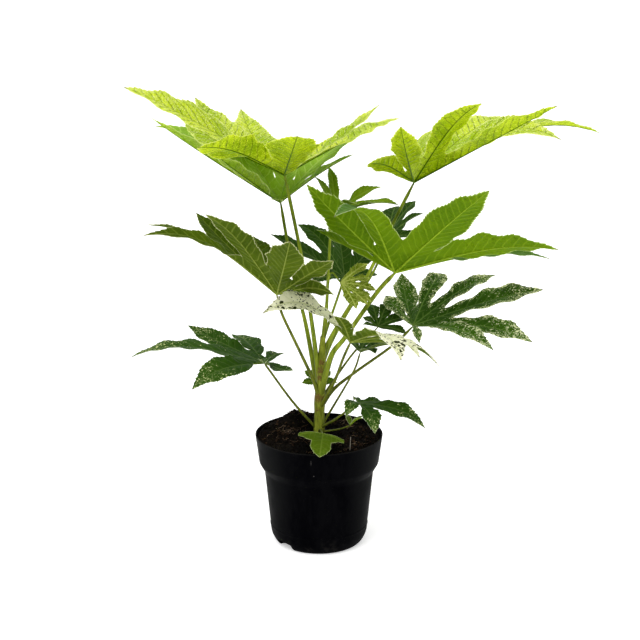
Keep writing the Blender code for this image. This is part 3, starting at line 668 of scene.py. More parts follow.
class Skin(Nodes):
    """A new material, whose colour is laid on layer by layer and then given to its shader."""

    def __init__(self, name, rough, specular, colour=None):
        self.material = bpy.data.materials.new(name)
        self.material.use_nodes = True
        super().__init__(self.material.node_tree)
        self.shader = self.tree.nodes["Principled BSDF"]
        self.put(self.shader.inputs["Roughness"], rough)
        self.put(self.shader.inputs["Specular IOR Level"], specular)
        self.place = self.add("ShaderNodeTexCoord").outputs["Object"]
        self.colour = colour

    def lay(self, share, colour):
        """Lay a colour over the others, as thick as its share says."""
        self.colour = self.mix(share, self.colour, colour)

    def patches(self, colour, scale, low, high, most=1.0, detail=2.0):
        """Lay a colour in patches, where a noise of this scale is high."""
        noise_here = self.noise(self.place, scale, detail)
        self.lay(self.band(noise_here, low, high, 0.0, most), colour)

    def near(self, place, point, size, low, high):
        """One near a point, and falling to zero between two shares of a size, both in mm."""
        offset = self.vector("SUBTRACT", place, Vector(point) * MM)
        share = self.vector("DIVIDE", offset, [part * MM for part in size])
        return self.falling(self.length(share), low, high)

    def grain(self, scale, stretch):
        return self.group("Fine grain", build_grain, {
            "Place": self.place, "Scale": scale, "Stretch": stretch})

    def darken_edges(self, deep):
        """Painted shade: darken a round stalk towards its sides, where it turns away, as shading
        would.
        """
        facing = self.add("ShaderNodeLayerWeight", {"Blend": 0.5}).outputs["Facing"]
        self.lay(self.band(facing, 0.30, 0.95, 0.0, 0.85), [SIDE_SHADE_SHARE * part for part in deep])

    def relief(self, height, strength, depth):
        bump = self.add("ShaderNodeBump", {
            "Height": height, "Strength": strength, "Distance": depth})
        self.put(self.shader.inputs["Normal"], bump.outputs["Normal"])

    def let_through(self, share, colour):
        """Let part of the light pass through."""
        glow = self.add("ShaderNodeBsdfTranslucent", {"Color": colour})
        mixed = self.add("ShaderNodeMixShader", {
            "Fac": share, 1: self.shader.outputs[0], 2: glow.outputs[0]})
        self.put(self.tree.nodes["Material Output"].inputs["Surface"], mixed.outputs[0])

    def done(self, rough=None):
        self.put(self.shader.inputs["Base Color"], self.colour)
        self.put(self.shader.inputs["Roughness"], rough)
        return self.material


def shared_material(name, make):
    """A material by its name, made at its first use."""
    return bpy.data.materials.get(name) or make(name)


def blade_material(name):
    finish = FINISHES[name]
    skin = Skin(name, finish.rough, 0.035, finish.body)
    margin = skin.attribute("margin")
    share = skin.attribute("lobe_share")
    veins = skin.group("Leaf veins", build_veins, {
        "Plan": skin.add("ShaderNodeUVMap", uv_map="blade_plan").outputs[0],
        "Vein": skin.attribute("vein"), "Margin": margin})
    skin.patches(finish.deep, 16.0, 0.38, 0.62, detail=3.0)
    between = skin.noise(skin.place, 130.0, 3.0)
    skin.lay(skin.band(between, 0.40, 0.65, 0.0, 0.30), finish.deep)
    skin.lay(skin.times(veins["Net"], finish.net), finish.vein)
    skin.lay(skin.times(veins["Side Veins"], finish.side), finish.vein)
    if finish.cover > 0:
        near_margin = skin.falling(margin, 0.5, FLECK_REACH)
        cover = skin.times_plus(near_margin, finish.edge_cover, finish.cover)
        cover = skin.times_plus(skin.band(share, 0.45, 1.0), finish.tip_cover, cover)
        flecks = skin.group("Leaf flecks", build_flecks, {
            "Place": skin.place, "Size": finish.fleck_size, "Cover": cover})["Flecks"]
        skin.lay(skin.times(flecks, skin.times_plus(veins["Midrib"], -0.8, 1.0)), finish.fleck)
    skin.lay(skin.times(veins["Midrib"], 0.85), finish.vein)
    width = skin.times(skin.noise(skin.place, 300.0), 2.0 * finish.margin_width)
    skin.lay(skin.times(skin.falling(margin, skin.times(width, 0.35), width), 0.8), finish.margin)
    skin.lay(skin.band(share, *DRY_TIP, 0.0, 0.8), DRY_BROWN)
    height = skin.times_plus(between, 0.35, veins["Relief"])
    upward = -1.0 if name.endswith("upper") else 1.0
    skin.relief(skin.times(height, upward), 0.55 * finish.relief, 0.4 * MM)
    skin.let_through(finish.glow, finish.glow_colour)
    return skin.done(skin.band(between, 0.3, 0.7, finish.rough - 0.07, finish.rough + 0.10))


def stalk_material(name):
    light, deep = STALKS[name]
    skin = Skin(name, 0.5, 0.1, light)
    grain = skin.grain(500.0, 9.0)
    skin.lay(skin.band(grain["Tone"], 0.38, 0.62), deep)
    skin.patches(STALK_SPECK, 900.0, 0.62, 0.70, 0.5)
    # Painted shade: the stalk darkens towards its foot, where the stalks crowd round the stem
    base = skin.falling(skin.attribute("stalk_share"), 0.0, 0.30)
    skin.lay(skin.times(base, 0.6), STALK_FOOT_SHADE)
    # Painted shade towards the stalk's sides
    skin.darken_edges(deep)
    skin.relief(grain["Relief"], 0.35, 0.3 * MM)
    return skin.done()


def rib_material(name):
    """The raised ribs under a blade, in the colour of its veins."""
    finish = FINISHES[name.removesuffix(RIB_SUFFIX)]
    skin = Skin(name, finish.rough, 0.03, finish.vein)
    skin.patches(finish.deep, 220.0, 0.40, 0.62, 0.35, 3.0)
    return skin.done()


def link_object(name, mesh):
    item = bpy.data.objects.new(name, mesh)
    bpy.context.scene.collection.objects.link(item)
    return item


def make_plain(item):
    """Give an object its evaluated mesh and drop its modifiers."""
    depsgraph = bpy.context.evaluated_depsgraph_get()
    mesh = bpy.data.meshes.new_from_object(item.evaluated_get(depsgraph))
    item.modifiers.clear()
    item.data = mesh
    return item


def run_tree(item, tree, **values):
    """Run a geometry tree with these inputs on an object and keep the result as its mesh."""
    modifier = item.modifiers.new(tree.name, "NODES")
    modifier.node_group = tree
    for socket in tree.interface.items_tree:
        if socket.in_out == "INPUT" and socket.name in values:
            modifier[socket.identifier] = values[socket.name]
    return make_plain(item)


def finish_geometry(nodes, geometry, material, outlet, smooth=True):
    """Make the instances real, shade them smooth unless they are crumbs, and set their finish."""
    real = nodes.add("GeometryNodeRealizeInstances", {"Geometry": geometry}).outputs[0]
    if smooth:
        real = nodes.add("GeometryNodeSetShadeSmooth", {"Geometry": real}).outputs[0]
    painted = nodes.add("GeometryNodeSetMaterial", {"Geometry": real, "Material": material})
    nodes.put(outlet["Geometry"], painted.outputs[0])
    return nodes.tree


def round_tube(nodes, curve, sides, girth):
    section = nodes.add("GeometryNodeCurvePrimitiveCircle", {"Resolution": sides, "Radius": 1.0})
    return nodes.add("GeometryNodeCurveToMesh", {
        "Curve": curve, "Profile Curve": section.outputs["Curve"], "Scale": girth,
        "Fill Caps": True}).outputs[0]


def build_sweep(name):
    """A round section swept along each path of edges, as thick as the path's girth says."""
    nodes, inlet, outlet = new_tree(
        "Geometry", name, {"Geometry": "Geometry", "Sides": 10, "Finish": "Material"},
        ["Geometry"])
    curve = nodes.add("GeometryNodeMeshToCurve", {"Mesh": inlet["Geometry"]}).outputs[0]
    girth = nodes.add("GeometryNodeInputNamedAttribute", {"Name": "girth"}, data_type="FLOAT")
    tube = round_tube(nodes, curve, inlet["Sides"], girth.outputs["Attribute"])
    return finish_geometry(nodes, tube, inlet["Finish"], outlet)


def sweep(name, paths, sides, material):
    """Tubes along the paths, each a list of (point, radius), as one plain mesh object."""
    verts, edges, girths, shares = [], [], [], []
    for path in paths:
        start = len(verts)
        for index, (point, radius) in enumerate(path):
            verts.append(point)
            girths.append(radius)
            shares.append(index / (len(path) - 1))
        edges += [(index, index + 1) for index in range(start, len(verts) - 1)]
    mesh = bpy.data.meshes.new(name)
    mesh.from_pydata(verts, edges, [])
    for label, values in (("girth", girths), ("stalk_share", shares)):
        mesh.attributes.new(label, "FLOAT", "POINT").data.foreach_set("value", values)
    tree = shared_tree("Swept stalk", build_sweep)
    return run_tree(link_object(name, mesh), tree, Sides=sides, Finish=material)


def joined(name, items):
    """Join objects into the first and name it."""
    first = items[0]
    with bpy.context.temp_override(
            active_object=first, object=first, selected_objects=items,
            selected_editable_objects=items):
        bpy.ops.object.join()
    first.name = name
    first.data.name = name
    return first


def smooth_route(points, steps):
    """Points along a smooth curve through the given points."""
    knots = [points[0] * 2 - points[1], *points, points[-1] * 2 - points[-2]]
    spans = len(points) - 1
    route = []
    for step in range(steps + 1):
        span = min(step * spans // steps, spans - 1)
        t = step * spans / steps - span
        before, start, end, after = knots[span:span + 4]
        route.append(0.5 * (2 * start + (end - before) * t
                            + (2 * before - 5 * start + 4 * end - after) * t * t
                            + (3 * start - before - 3 * end + after) * t ** 3))
    return route


def smooth_step(value):
    value = min(max(value, 0.0), 1.0)
    return value * value * (3 - 2 * value)


class Rib:
    """The midrib of one lobe: where it runs, and which way its blade's sides and top face."""

    def __init__(self, leaf, lobe):
        turn = (Euler((0, 0, radians(leaf.heading))).to_matrix()
                @ Euler((0, -radians(leaf.tilt), 0)).to_matrix()
                @ Euler((radians(leaf.lean), 0, 0)).to_matrix())
        bearing, rise, roll = radians(lobe.bearing), radians(lobe.rise), radians(lobe.roll)
        self.hub = Vector(leaf.hub) * MM
        self.length = lobe.length * MM
        self.along = turn @ Vector((cos(rise) * cos(bearing), cos(rise) * sin(bearing), sin(rise)))
        top = turn @ Vector((0, 0, 1))
        self.bow = (top - top.dot(self.along) * self.along).normalized()
        self.arch = leaf.arch if lobe.arch is None else lobe.arch
        left = self.bow.cross(self.along)
        self.up = self.bow * cos(roll) - left * sin(roll)
        self.left = left * cos(roll) + self.bow * sin(roll)
        self.width = lobe.width * leaf.width

    def at(self, t):
        """A point on the midrib, bowed most a little past its middle."""
        bow = self.arch * self.length * (2 + LATE_BOW * t) * t * (1 - t)
        return self.hub + self.along * self.length * t + self.bow * bow


def ribs_of(leaf):
    return [Rib(leaf, Lobe(*lobe)) for lobe in leaf.lobes]


def outline_width(t, leaf):
    """Share of a lobe's greatest width, from its neck at 0 to its tip at 1."""
    if t < leaf.widest:
        q = t / leaf.widest
        return leaf.neck + (1 - leaf.neck) * (3 * q * q - 2 * q ** 3)
    q = (t - leaf.widest) / (1 - leaf.widest)
    return (1 - q) * (1 + TIP_FULLNESS * q - TIP_TAPER * q ** 3)


class Web:
    """The line between two lobes, from the hub to the bottom of the notch between them."""

    def __init__(self, leaf, first, second, rows):
        self.half_angle = first.along.angle(second.along) / 2
        wide = self.half_angle > radians(WIDE_SINUS_ANGLE)
        self.depth = leaf.sinus * min(first.length, second.length) * (WIDE_SINUS_DEPTH if wide else 1)
        self.up = (first.bow + second.bow).normalized()
        self.points = []
        for row in range(1, rows + 1):
            away = self.depth * row / rows
            one, two = first.at(away / first.length), second.at(away / second.length)
            middle = (one + two) / 2
            middle += (middle - first.hub) * WEB_SAG * row / rows
            self.points.append(middle + self.up * (one - two).length / 2 * WEB_BULGE)


def near_full(length, least, span):
    """A share that grows with a length from least to 1, as short lobes have finer detail."""
    return min(1.0, least + length / span)


class BladeMesh:
    """The open surface of a blade, gathered lobe by lobe, with its map and attributes."""

    def __init__(self, name, leaf, look, settings):
        self.name, self.leaf, self.look, self.settings = name, leaf, look, settings
        dice = Random(name)
        self.verts = [Vector(leaf.hub) * MM]
        self.faces = []
        self.corners = []
        ribs = ribs_of(leaf)
        mean_length = sum(rib.length for rib in ribs) / len(ribs)
        self.web_rows = max(LEAST_WEB_ROWS, round(leaf.sinus * mean_length / WEB_ROW_STEP))
        webs = [Web(leaf, a, b, self.web_rows) for a, b in zip(ribs, ribs[1:])]
        for web in webs:
            web.start = self.keep(web.points)
        gaps = [None, *webs, None]
        for rib, right, left in zip(ribs, gaps, gaps[1:]):
            self.add_lobe(rib, right, left, dice.uniform(0, 2 * pi))

    def keep(self, points):
        start = len(self.verts)
        self.verts += points
        return start

    def add_lobe(self, rib, right, left, wave_start):
        """Rows along the midrib: those of the web, then a few for each tooth."""
        depths = [gap.depth for gap in (right, left) if gap]
        neck = sum(depths) / len(depths) / rib.length
        spacing = self.settings.tooth_spacing * near_full(rib.length, *TOOTH_GROWTH)
        teeth = max(LEAST_TEETH, round((1 - neck) * rib.length / spacing))
        free = [(tooth + phase) / teeth for tooth in range(teeth) for phase in ROWS_A_TOOTH]
        stations = [neck * row / self.web_rows for row in range(1, self.web_rows + 1)]
        stations += [neck + (1 - neck) * out for out in free[1:]] + [1.0]
        spine = self.keep([rib.at(t) for t in stations])
        for side, gap in ((-1, right), (1, left)):
            half = HalfLobe(self, rib, neck, teeth, side, gap, wave_start)
            half.add(stations, spine)
            wave_start += SIDE_WAVE_SHIFT

    def made(self):
        """The surface as a mesh object with its map and attributes."""
        mesh = bpy.data.meshes.new(self.name)
        mesh.from_pydata(self.verts, [], self.faces)
        plan = mesh.uv_layers.new(name="blade_plan")
        plan.uv.foreach_set("vector", [number for values in self.corners for number in values[:2]])
        for place, name in ((2, "vein"), (3, "margin"), (4, "lobe_share")):
            layer = mesh.attributes.new(name, "FLOAT", "CORNER")
            layer.data.foreach_set("value", [values[place] for values in self.corners])
        mesh.shade_smooth()
        return link_object(self.name, mesh)


class HalfLobe:
    """One side of a lobe, from its midrib to its margin."""

    def __init__(self, blade, rib, neck, teeth, side, gap, wave_start):
        self.blade, self.rib, self.neck, self.teeth = blade, rib, neck, teeth
        self.side, self.gap, self.wave_start = side, gap, wave_start
        fold = radians(FOLD_ANGLE)
        self.own_side = side * rib.left * cos(fold) + rib.up * sin(fold)
        self.half_angle = gap.half_angle if gap else radians(BASAL_HALF_GAP)
        self.vein_gap = blade.settings.vein_spacing * near_full(rib.length, *VEIN_GROWTH)
        if gap:
            self.web_end = blade.verts[gap.start + blade.web_rows - 1] - rib.at(neck)

    def add(self, stations, spine):
        low = None
        for index, t in enumerate(stations):
            high = self.row(index, t, spine + index)
            self.join_rows(low, high, t >= 1.0)
            low = high

    def width(self, t):
        """Distance from the midrib to the margin without teeth, and the share out of the web."""
        rib, leaf, neck = self.rib, self.blade.leaf, self.neck
        full = HALF_WIDTH * rib.width * rib.length
        if t <= neck:
            half = full * leaf.neck * sqrt(t / neck)
            out = 0.0
        else:
            out = (t - neck) / (1 - neck)
            swing = SWING_REACH * -cos(pi * out * leaf.swings) * smooth_step(out / TOOTHLESS)
            half = full * outline_width(out, leaf) * (SWING_MIDDLE + swing)
            if self.gap:
                flare = self.gap.depth * sin(self.half_angle) - full * leaf.neck
                half += flare * (1 - out) ** (1 + SINUS_ROUNDING * (1 - leaf.sinus))
        wedge = t * rib.length * tan(self.half_angle) * WEDGE_SHARE - EDGE_CLEARANCE
        return min(half, wedge), out

    def tooth(self, half, out):
        """How far the margin's tooth stands out here, and how far it leans to the tip."""
        if out <= 0:
            return 0, 0
        phase = (out * self.teeth) % 1.0
        rise = phase if phase < TOOTH_CREST else 0.0
        depth = self.blade.settings.tooth_depth * self.blade.look.tooth
        depth *= min(1.0, half / WIDE_ENOUGH_FOR_TEETH)
        return depth * rise * smooth_step((out - TOOTHLESS) / TOOTHLESS), rise

    def edge(self, index, t, half, out, blend):
        """The way from the midrib to the margin, and how far that is."""
        rib = self.rib
        if self.gap and index < self.blade.web_rows:
            edge = self.blade.verts[self.gap.start + index] - rib.at(t)
            return edge, edge.length
        if t >= 1.0:
            return Vector((0, 0, 0)), 0.0
        tooth, lean = self.tooth(half, out)
        way = self.own_side
        if self.gap and blend < 1.0:
            way = self.web_end.normalized().lerp(self.own_side, blend).normalized()
            along = way.dot(rib.along)
            way = (way - rib.along * along * blend).normalized()
        half += tooth
        return way * half + rib.along * tooth * TOOTH_LEAN * lean, half

    def row(self, index, t, spine):
        """The vertices across one row, each with its values for the map."""
        rib, gap = self.rib, self.gap
        half, out = self.width(t)
        blend = smooth_step(out / TWIST_LENGTH) if gap else 1.0
        edge, half = self.edge(index, t, half, out, blend)
        middle = rib.at(t)
        along = t * rib.length
        wave = MARGIN_WAVE * min(1.0, half / WIDE_ENOUGH_FOR_WAVES) * sin(
            2 * pi * along / MARGIN_WAVELENGTH + self.wave_start)
        columns = []
        for column in range(COLUMNS + 1):
            s = column / COLUMNS
            across = s * half
            slant = VEIN_SLANT * across + VEIN_CURVE * across * across
            vein = (along - slant) / self.vein_gap + (0.5 if self.side > 0 else 0.0)
            if t <= self.neck and gap:
                margin = hypot(gap.depth - along, half * (1 - s))
            else:
                margin = half * (1 - s) * (1 - MARGIN_NARROWING * out)
            values = (along / DECIMETRE, self.side * across / DECIMETRE, vein, margin / MM, t)
            if column == 0 or t >= 1.0:
                vertex = spine
            elif column == COLUMNS and gap and index < self.blade.web_rows:
                vertex = gap.start + index
            else:
                up, lift = self.lift(t, s, half, vein, blend)
                lift += wave * s ** 3 * blend
                vertex = self.blade.keep([middle + edge * s + up * lift])
            columns.append((vertex, values))
        return columns

    def lift(self, t, s, half, vein, blend):
        """Which way is up here, and how far bulge and pleats lift the blade that way."""
        up = self.rib.up
        bulge = BLADE_BULGE * half * sin(pi * s)
        if self.gap:
            up = self.gap.up.lerp(self.rib.up, max(blend, 1 - s)).normalized()
            web_bulge = WEB_BULGE * half * sin(pi * s / 2)
            bulge = web_bulge * (1 - blend) + bulge * blend
        pleat = self.blade.settings.pleat_height * self.blade.look.pleat
        pleat *= min(1.0, half / WIDE_ENOUGH_FOR_PLEATS)
        across = sin(pi * min(s * PLEAT_REACH, 1.0))
        pleat *= cos(2 * pi * vein) * across * smooth_step(t / PLEAT_RISE)
        pleat *= 1 - smooth_step((t - PLEAT_FALLS_FROM) / PLEAT_RISE)
        if self.gap:
            bulge -= WEB_BULGE * half * s * (1 - blend)
        return up, bulge - pleat

    def join_rows(self, low, high, is_tip):
        """Faces between two rows, or round the hub where there is no row below, facing up."""
        hub = (0, (0.0, 0.0, high[0][1][2], HUB_MARGIN, 0.0))
        for column in range(COLUMNS):
            if low is None:
                face = [hub, high[column], high[column + 1]]
            elif is_tip:
                face = [low[column], high[column], low[column + 1]]
            else:
                face = [low[column], high[column], high[column + 1], low[column + 1]]
            if self.side < 0:
                face.reverse()
            self.blade.faces.append([vertex for vertex, values in face])
            self.blade.corners += [values for vertex, values in face]


def make_blade(name, leaf, look, settings):
    blade = BladeMesh(name + "_blade", leaf, look, settings).made()
    for finish in (look.upper, look.under):
        blade.data.materials.append(shared_material(finish, blade_material))
    solidify = blade.modifiers.new("Thickness", "SOLIDIFY")
    solidify.thickness = settings.thickness
    solidify.offset = 0.0
    solidify.material_offset = 1
    solidify.use_quality_normals = True
    make_plain(blade)
    blade.data.set_sharp_from_angle(angle=radians(BLADE_SHARP_ANGLE))
    return blade


def make_leaf(name, leaf, look, settings):
    """A blade with raised ribs on its underside and its stalk, in place of the leaf's node."""
    blade = make_blade(name, leaf, look, settings)
    ribs = ribs_of(leaf)
    points = [Vector(point) * MM for point in (*leaf.petiole, leaf.hub)]
    girth = leaf.girth * MM
    points[-1] -= ribs[0].bow * girth * STALK_SINK
    radii = [girth * (1 + SHEATH_SWELL * (1 - step / PETIOLE_STEPS) ** 3)
             * min(1.0, STALK_END + (PETIOLE_STEPS - step) / STALK_END_STEPS)
             for step in range(PETIOLE_STEPS + 1)]
    path = list(zip(smooth_route(points, PETIOLE_STEPS), radii))
    stalk = sweep(name + "_stalk", [path], STALK_SIDES, shared_material(look.stalk, stalk_material))
    paths = []
    for rib in ribs:
        start = min(girth * RIB_GIRTH, RIB_GIRTH_RISE * rib.length + RIB_LEAST)
        path = []
        for step in range(RIB_STEPS + 1):
            t = RIB_END * step / RIB_STEPS
            radius = start + (RIB_TIP - start) * (t / RIB_END) ** RIB_TAPER
            sink = settings.thickness / 2 + radius * RIB_SINK
            path.append((rib.at(t) - rib.up * sink, radius))
        paths.append(path)
    rib_finish = shared_material(look.under + RIB_SUFFIX, rib_material)
    raised = sweep(name + "_ribs", paths, RIB_SIDES, rib_finish)
    leaf_piece = joined(name + "_fine", [blade, stalk, raised])
    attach(leaf_piece, ROOT)
    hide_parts(name)


def stem_material(settings):
    skin = Skin("stem_bark", 0.5, 0.1, settings.bark)
    grain = skin.grain(420.0, 5.0)
    skin.lay(skin.band(grain["Tone"], 0.40, 0.58), settings.bark_deep)
    ragged = skin.vector("SUBTRACT", skin.clouds(skin.place, 320.0, 3.0)["Color"], (0.5, 0.5, 0.5))
    torn = skin.vector("ADD", skin.place, skin.scaled(ragged, SCAR_RAGGEDNESS))
    scar = 0.0
    for point, size in STEM_SCARS:
        wide = (1.5 * size, 1.5 * size, 0.9 * size)
        scar = skin.most(skin.near(torn, point, wide, 0.6, 1.4), scar)
    patches = skin.noise(skin.place, 260.0, 4.0, 0.7)
    skin.lay(skin.times(scar, skin.band(patches, 0.34, 0.50, 0.12, 1.0)), settings.scar)
    skin.patches(settings.scar, 700.0, 0.66, 0.72, 0.6)
    # Painted shade towards the stem's sides
    skin.darken_edges(settings.bark_deep)
    skin.relief(grain["Relief"], 0.5, 0.4 * MM)
    return skin.done(skin.band(patches, 0.3, 0.7, 0.42, 0.62))


def make_stem(settings):
    """The stem, with low scar ridges, in place of its node."""
    radii = [radius for point, radius in STEM_POINTS]
    path = []
    route = smooth_route([Vector(point) * MM for point, radius in STEM_POINTS], STEM_RINGS)
    for index, point in enumerate(route):
        place = index * (len(radii) - 1) / STEM_RINGS
        low = min(int(place), len(radii) - 2)
        radius = radii[low] + (radii[low + 1] - radii[low]) * smooth_step(place - low)
        path.append((point, radius * MM))
    stem = sweep("stem_fine", [path], STEM_SIDES, stem_material(settings))
    for vertex in stem.data.vertices:
        x, y, z = vertex.co
        across, along = BARK_FINENESS
        lift = STEM_ROUGHNESS * noise.noise(Vector((x * across, y * across, z * along)))
        for point, size in STEM_SCARS:
            away = (vertex.co - Vector(point) * MM).length / (size * MM)
            lift += SCAR_RIDGE * exp(-((away - RIDGE_PLACE) * RIDGE_NARROWNESS) ** 2)
        vertex.co += Vector((x, y, 0)).normalized() * lift
    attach(stem, ROOT)
    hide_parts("stem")


def pot_material(settings):
    skin = Skin("pot_plastic", 0.45, 0.005, settings.plastic)
    skin.lay(skin.band(skin.grain(160.0, 2.5)["Tone"], 0.4, 0.62), settings.scuffed)
    parts = skin.parts(skin.place)
    # Painted sheen: greyer plastic towards the pot's sides, where the light glances off
    skin.lay(skin.band(skin.absolute(parts["X"]), *SHEEN_SIDES, 0.0, 0.8), settings.worn)
    dust = skin.band(skin.noise(skin.place, 90.0, 5.0, 0.7), 0.5, 0.7)
    dust = skin.times(skin.falling(parts["Z"], 0.0, DUST_HEIGHT), dust)
    skin.lay(skin.times(dust, 0.3), settings.dust)
    # The top of the lip is laid a little lighter, in the dust's colour
    skin.lay(skin.times(skin.band(parts["Z"], *LIGHTER_LIP), 0.15), settings.dust)
    skin.patches(settings.dust, 800.0, 0.76, 0.79, 0.5, 1.0)
    for point, width, height in POT_MARKS:
        near = skin.near(skin.place, point, (width, POT_MARK_DEPTH, height), 0.6, 1.0)
        skin.lay(skin.times(near, 0.35), POT_MARK_GREY)
    shine = skin.noise(skin.place, 38.0, 3.0)
    mottle = skin.noise(skin.place, 1500.0)
    skin.relief(skin.times_plus(mottle, 0.5, skin.times(shine, 0.8)), 0.25, 0.3 * MM)
    return skin.done(skin.band(shine, 0.35, 0.65, 0.36, 0.50))


def rounded(outline, rounds):
    """The outline with each corner rounded by its own reach."""
    points = [Vector(point) for point in outline]
    result = [points[0]]
    for index, reach in enumerate(rounds, start=1):
        before, corner, after = points[index - 1:index + 2]
        reach = min(reach, (before - corner).length / CORNER_LIMIT,
                    (after - corner).length / CORNER_LIMIT)
        start = corner + (before - corner).normalized() * reach
        end = corner + (after - corner).normalized() * reach
        result.append(start + (before - corner) * CORNER_LEAD)
        for step in range(CORNER_STEPS + 1):
            t = step / CORNER_STEPS
            result.append(start * (1 - t) ** 2 + corner * 2 * t * (1 - t) + end * t * t)
        result.append(end + (after - corner) * CORNER_LEAD)
    return [*result, points[-1]]


def turned(name, outline, steps):
    """Turn an outline of (radius, height) points round Z into a closed mesh object."""
    verts, faces, rings = [], [], []
    for radius, height in outline:
        if radius < MM / 100:
            rings.append([len(verts)] * steps)
            verts.append((0, 0, height))
            continue
        rings.append(list(range(len(verts), len(verts) + steps)))
        for step in range(steps):
            angle = 2 * pi * step / steps
            verts.append((radius * cos(angle), radius * sin(angle), height))
    for low, high in zip(rings, rings[1:]):
        for step in range(steps):
            after = (step + 1) % steps
            corners = [low[step], high[step], high[after], low[after]]
            faces.append([c for i, c in enumerate(corners) if c not in corners[:i]])
    mesh = bpy.data.meshes.new(name)
    mesh.from_pydata(verts, [], faces)
    mesh.shade_smooth()
    return link_object(name, mesh)


def drain_cutter(bearing):
    """A rounded block that cuts one drain notch from the pot's foot."""
    bpy.ops.mesh.primitive_cube_add(size=1)
    cutter = bpy.context.object
    reach = HEEL_RADIUS + DRAIN_OVERSHOOT - DRAIN_INNER
    angle = radians(bearing)
    middle = DRAIN_INNER + reach / 2
    cutter.scale = (reach, DRAIN_WIDTH, 2 * DRAIN_HEIGHT)
    cutter.rotation_euler = (0, 0, angle)
    cutter.location = (middle * cos(angle), middle * sin(angle), 0)
    bevel = cutter.modifiers.new("Round", "BEVEL")
    bevel.width = DRAIN_ROUND
    bevel.segments = 4
    with bpy.context.temp_override(active_object=cutter, object=cutter,
                                   selected_editable_objects=[cutter]):
        bpy.ops.object.transform_apply(location=True, rotation=True, scale=True)
    return cutter


def make_pot(settings):
    """The nursery pot with its rounded lip, collar and foot, in place of its node."""
    outside = [
        (RIM_RADIUS - POT_WALL / 2, POT_HEIGHT), (RIM_RADIUS, POT_HEIGHT),
        (COLLAR_RADIUS, COLLAR_HEIGHT), (NECK_RADIUS, NECK_HEIGHT),
        *((FOOT_BAND_RADIUS + out * FOOT_BAND_RISE, FOOT_BAND_HEIGHT - step * MM)
          for step, out in enumerate((0, 1, 1, 0))),
        (HEEL_RADIUS, HEEL_HEIGHT), (FOOT_RADIUS, FOOT_HEIGHT), (BASE_RADIUS, 0), (0, 0),
    ]
    inside = [
        (0, POT_FLOOR), (BASE_RADIUS - POT_WALL, POT_FLOOR),
        (HEEL_RADIUS - POT_WALL, HEEL_HEIGHT + POT_WALL),
        (NECK_RADIUS - POT_WALL, NECK_HEIGHT + POT_WALL / 2),
        (COLLAR_RADIUS - POT_WALL, COLLAR_HEIGHT + POT_WALL / 2),
        (RIM_RADIUS - POT_WALL, POT_HEIGHT), (RIM_RADIUS - POT_WALL / 2, POT_HEIGHT),
    ]
    pot = turned("pot_fine", [*rounded(inside, INSIDE_ROUNDS),
                              *rounded(outside, OUTSIDE_ROUNDS)[1:]], POT_STEPS)
    cutters = [drain_cutter(bearing) for bearing in DRAIN_BEARINGS]
    for cutter in cutters:
        cut = pot.modifiers.new("Drain", "BOOLEAN")
        cut.operation = "DIFFERENCE"
        cut.solver = "EXACT"
        cut.object = cutter
    make_plain(pot)
    for cutter in cutters:
        bpy.data.objects.remove(cutter, do_unlink=True)
    pot.data.materials.clear()
    pot.data.materials.append(pot_material(settings))
    pot.data.shade_smooth()
    pot.data.set_sharp_from_angle(angle=radians(POT_SHARP_ANGLE))
    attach(pot, ROOT)
    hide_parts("pot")


def soil_height(x, y):
    """Height of the soil's surface: crown, heaps and crumbly unevenness."""
    crown = SOIL_CROWN * cos(min(hypot(x, y) / RIM_RADIUS, 1) * pi / 2)
    heap = 0
    for place, height, span in HEAPS:
        away = hypot(x - place[0] * MM, y - place[1] * MM)
        heap += height * MM * exp(-(away / (span * MM)) ** 2)
    uneven = 0
    for size, height in SOIL_LUMPS:
        uneven += height * MM * noise.noise(
            Vector((x / (size * MM), y / (size * MM), size * MM * 900)))
    return SOIL_EDGE + crown + heap + uneven


def soil_material(name, light, deep, rough):
    skin = Skin(name, rough, 0.02, deep)
    skin.patches(light, 42.0, 0.42, 0.62, detail=3.0)
    crumbs = skin.noise(skin.place, 520.0, 4.0, 0.7)
    skin.lay(skin.band(crumbs, 0.45, 0.75), light)
    skin.patches(SOIL_SPECK, 1100.0, 0.60, 0.70, 0.7)
    # Painted shade: darker towards the middle plane, under the plant
    aside = skin.absolute(skin.parts(skin.place)["X"])
    skin.lay(skin.band(aside, *SHADED_MIDDLE, 0.96, 0.0), deep)
    skin.relief(crumbs, 0.9, 1.2 * MM)
    return skin.done(skin.band(crumbs, 0.3, 0.7, rough - 0.1, rough))


def new_scatter(name, inputs, patch_scale, patch_band):
    """A tree with points, in patches, on faces that look up within a reach of the middle."""
    nodes, inlet, outlet = new_tree("Geometry", name, {
        "Geometry": "Geometry", "Density": 9000.0, "Smallest": 0.001, "Largest": 0.002,
        "Seed": 7, "Reach": 0.070, "Finish": "Material", **inputs}, ["Geometry"])
    place = nodes.add("GeometryNodeInputPosition").outputs[0]
    upward = nodes.parts(nodes.add("GeometryNodeInputNormal").outputs[0])["Z"]
    level = nodes.vector("MULTIPLY", place, (1.0, 1.0, 0.0))
    chosen = nodes.times(nodes.math("GREATER_THAN", upward, 0.3),
                         nodes.math("LESS_THAN", nodes.length(level), inlet["Reach"]))
    patches = nodes.band(nodes.noise(place, patch_scale), *patch_band)
    spread = nodes.add("GeometryNodeDistributePointsOnFaces", {
        "Mesh": inlet["Geometry"], "Selection": chosen, "Seed": inlet["Seed"],
        "Density": nodes.times(inlet["Density"], patches)})
    return nodes, inlet, outlet, spread.outputs["Points"]


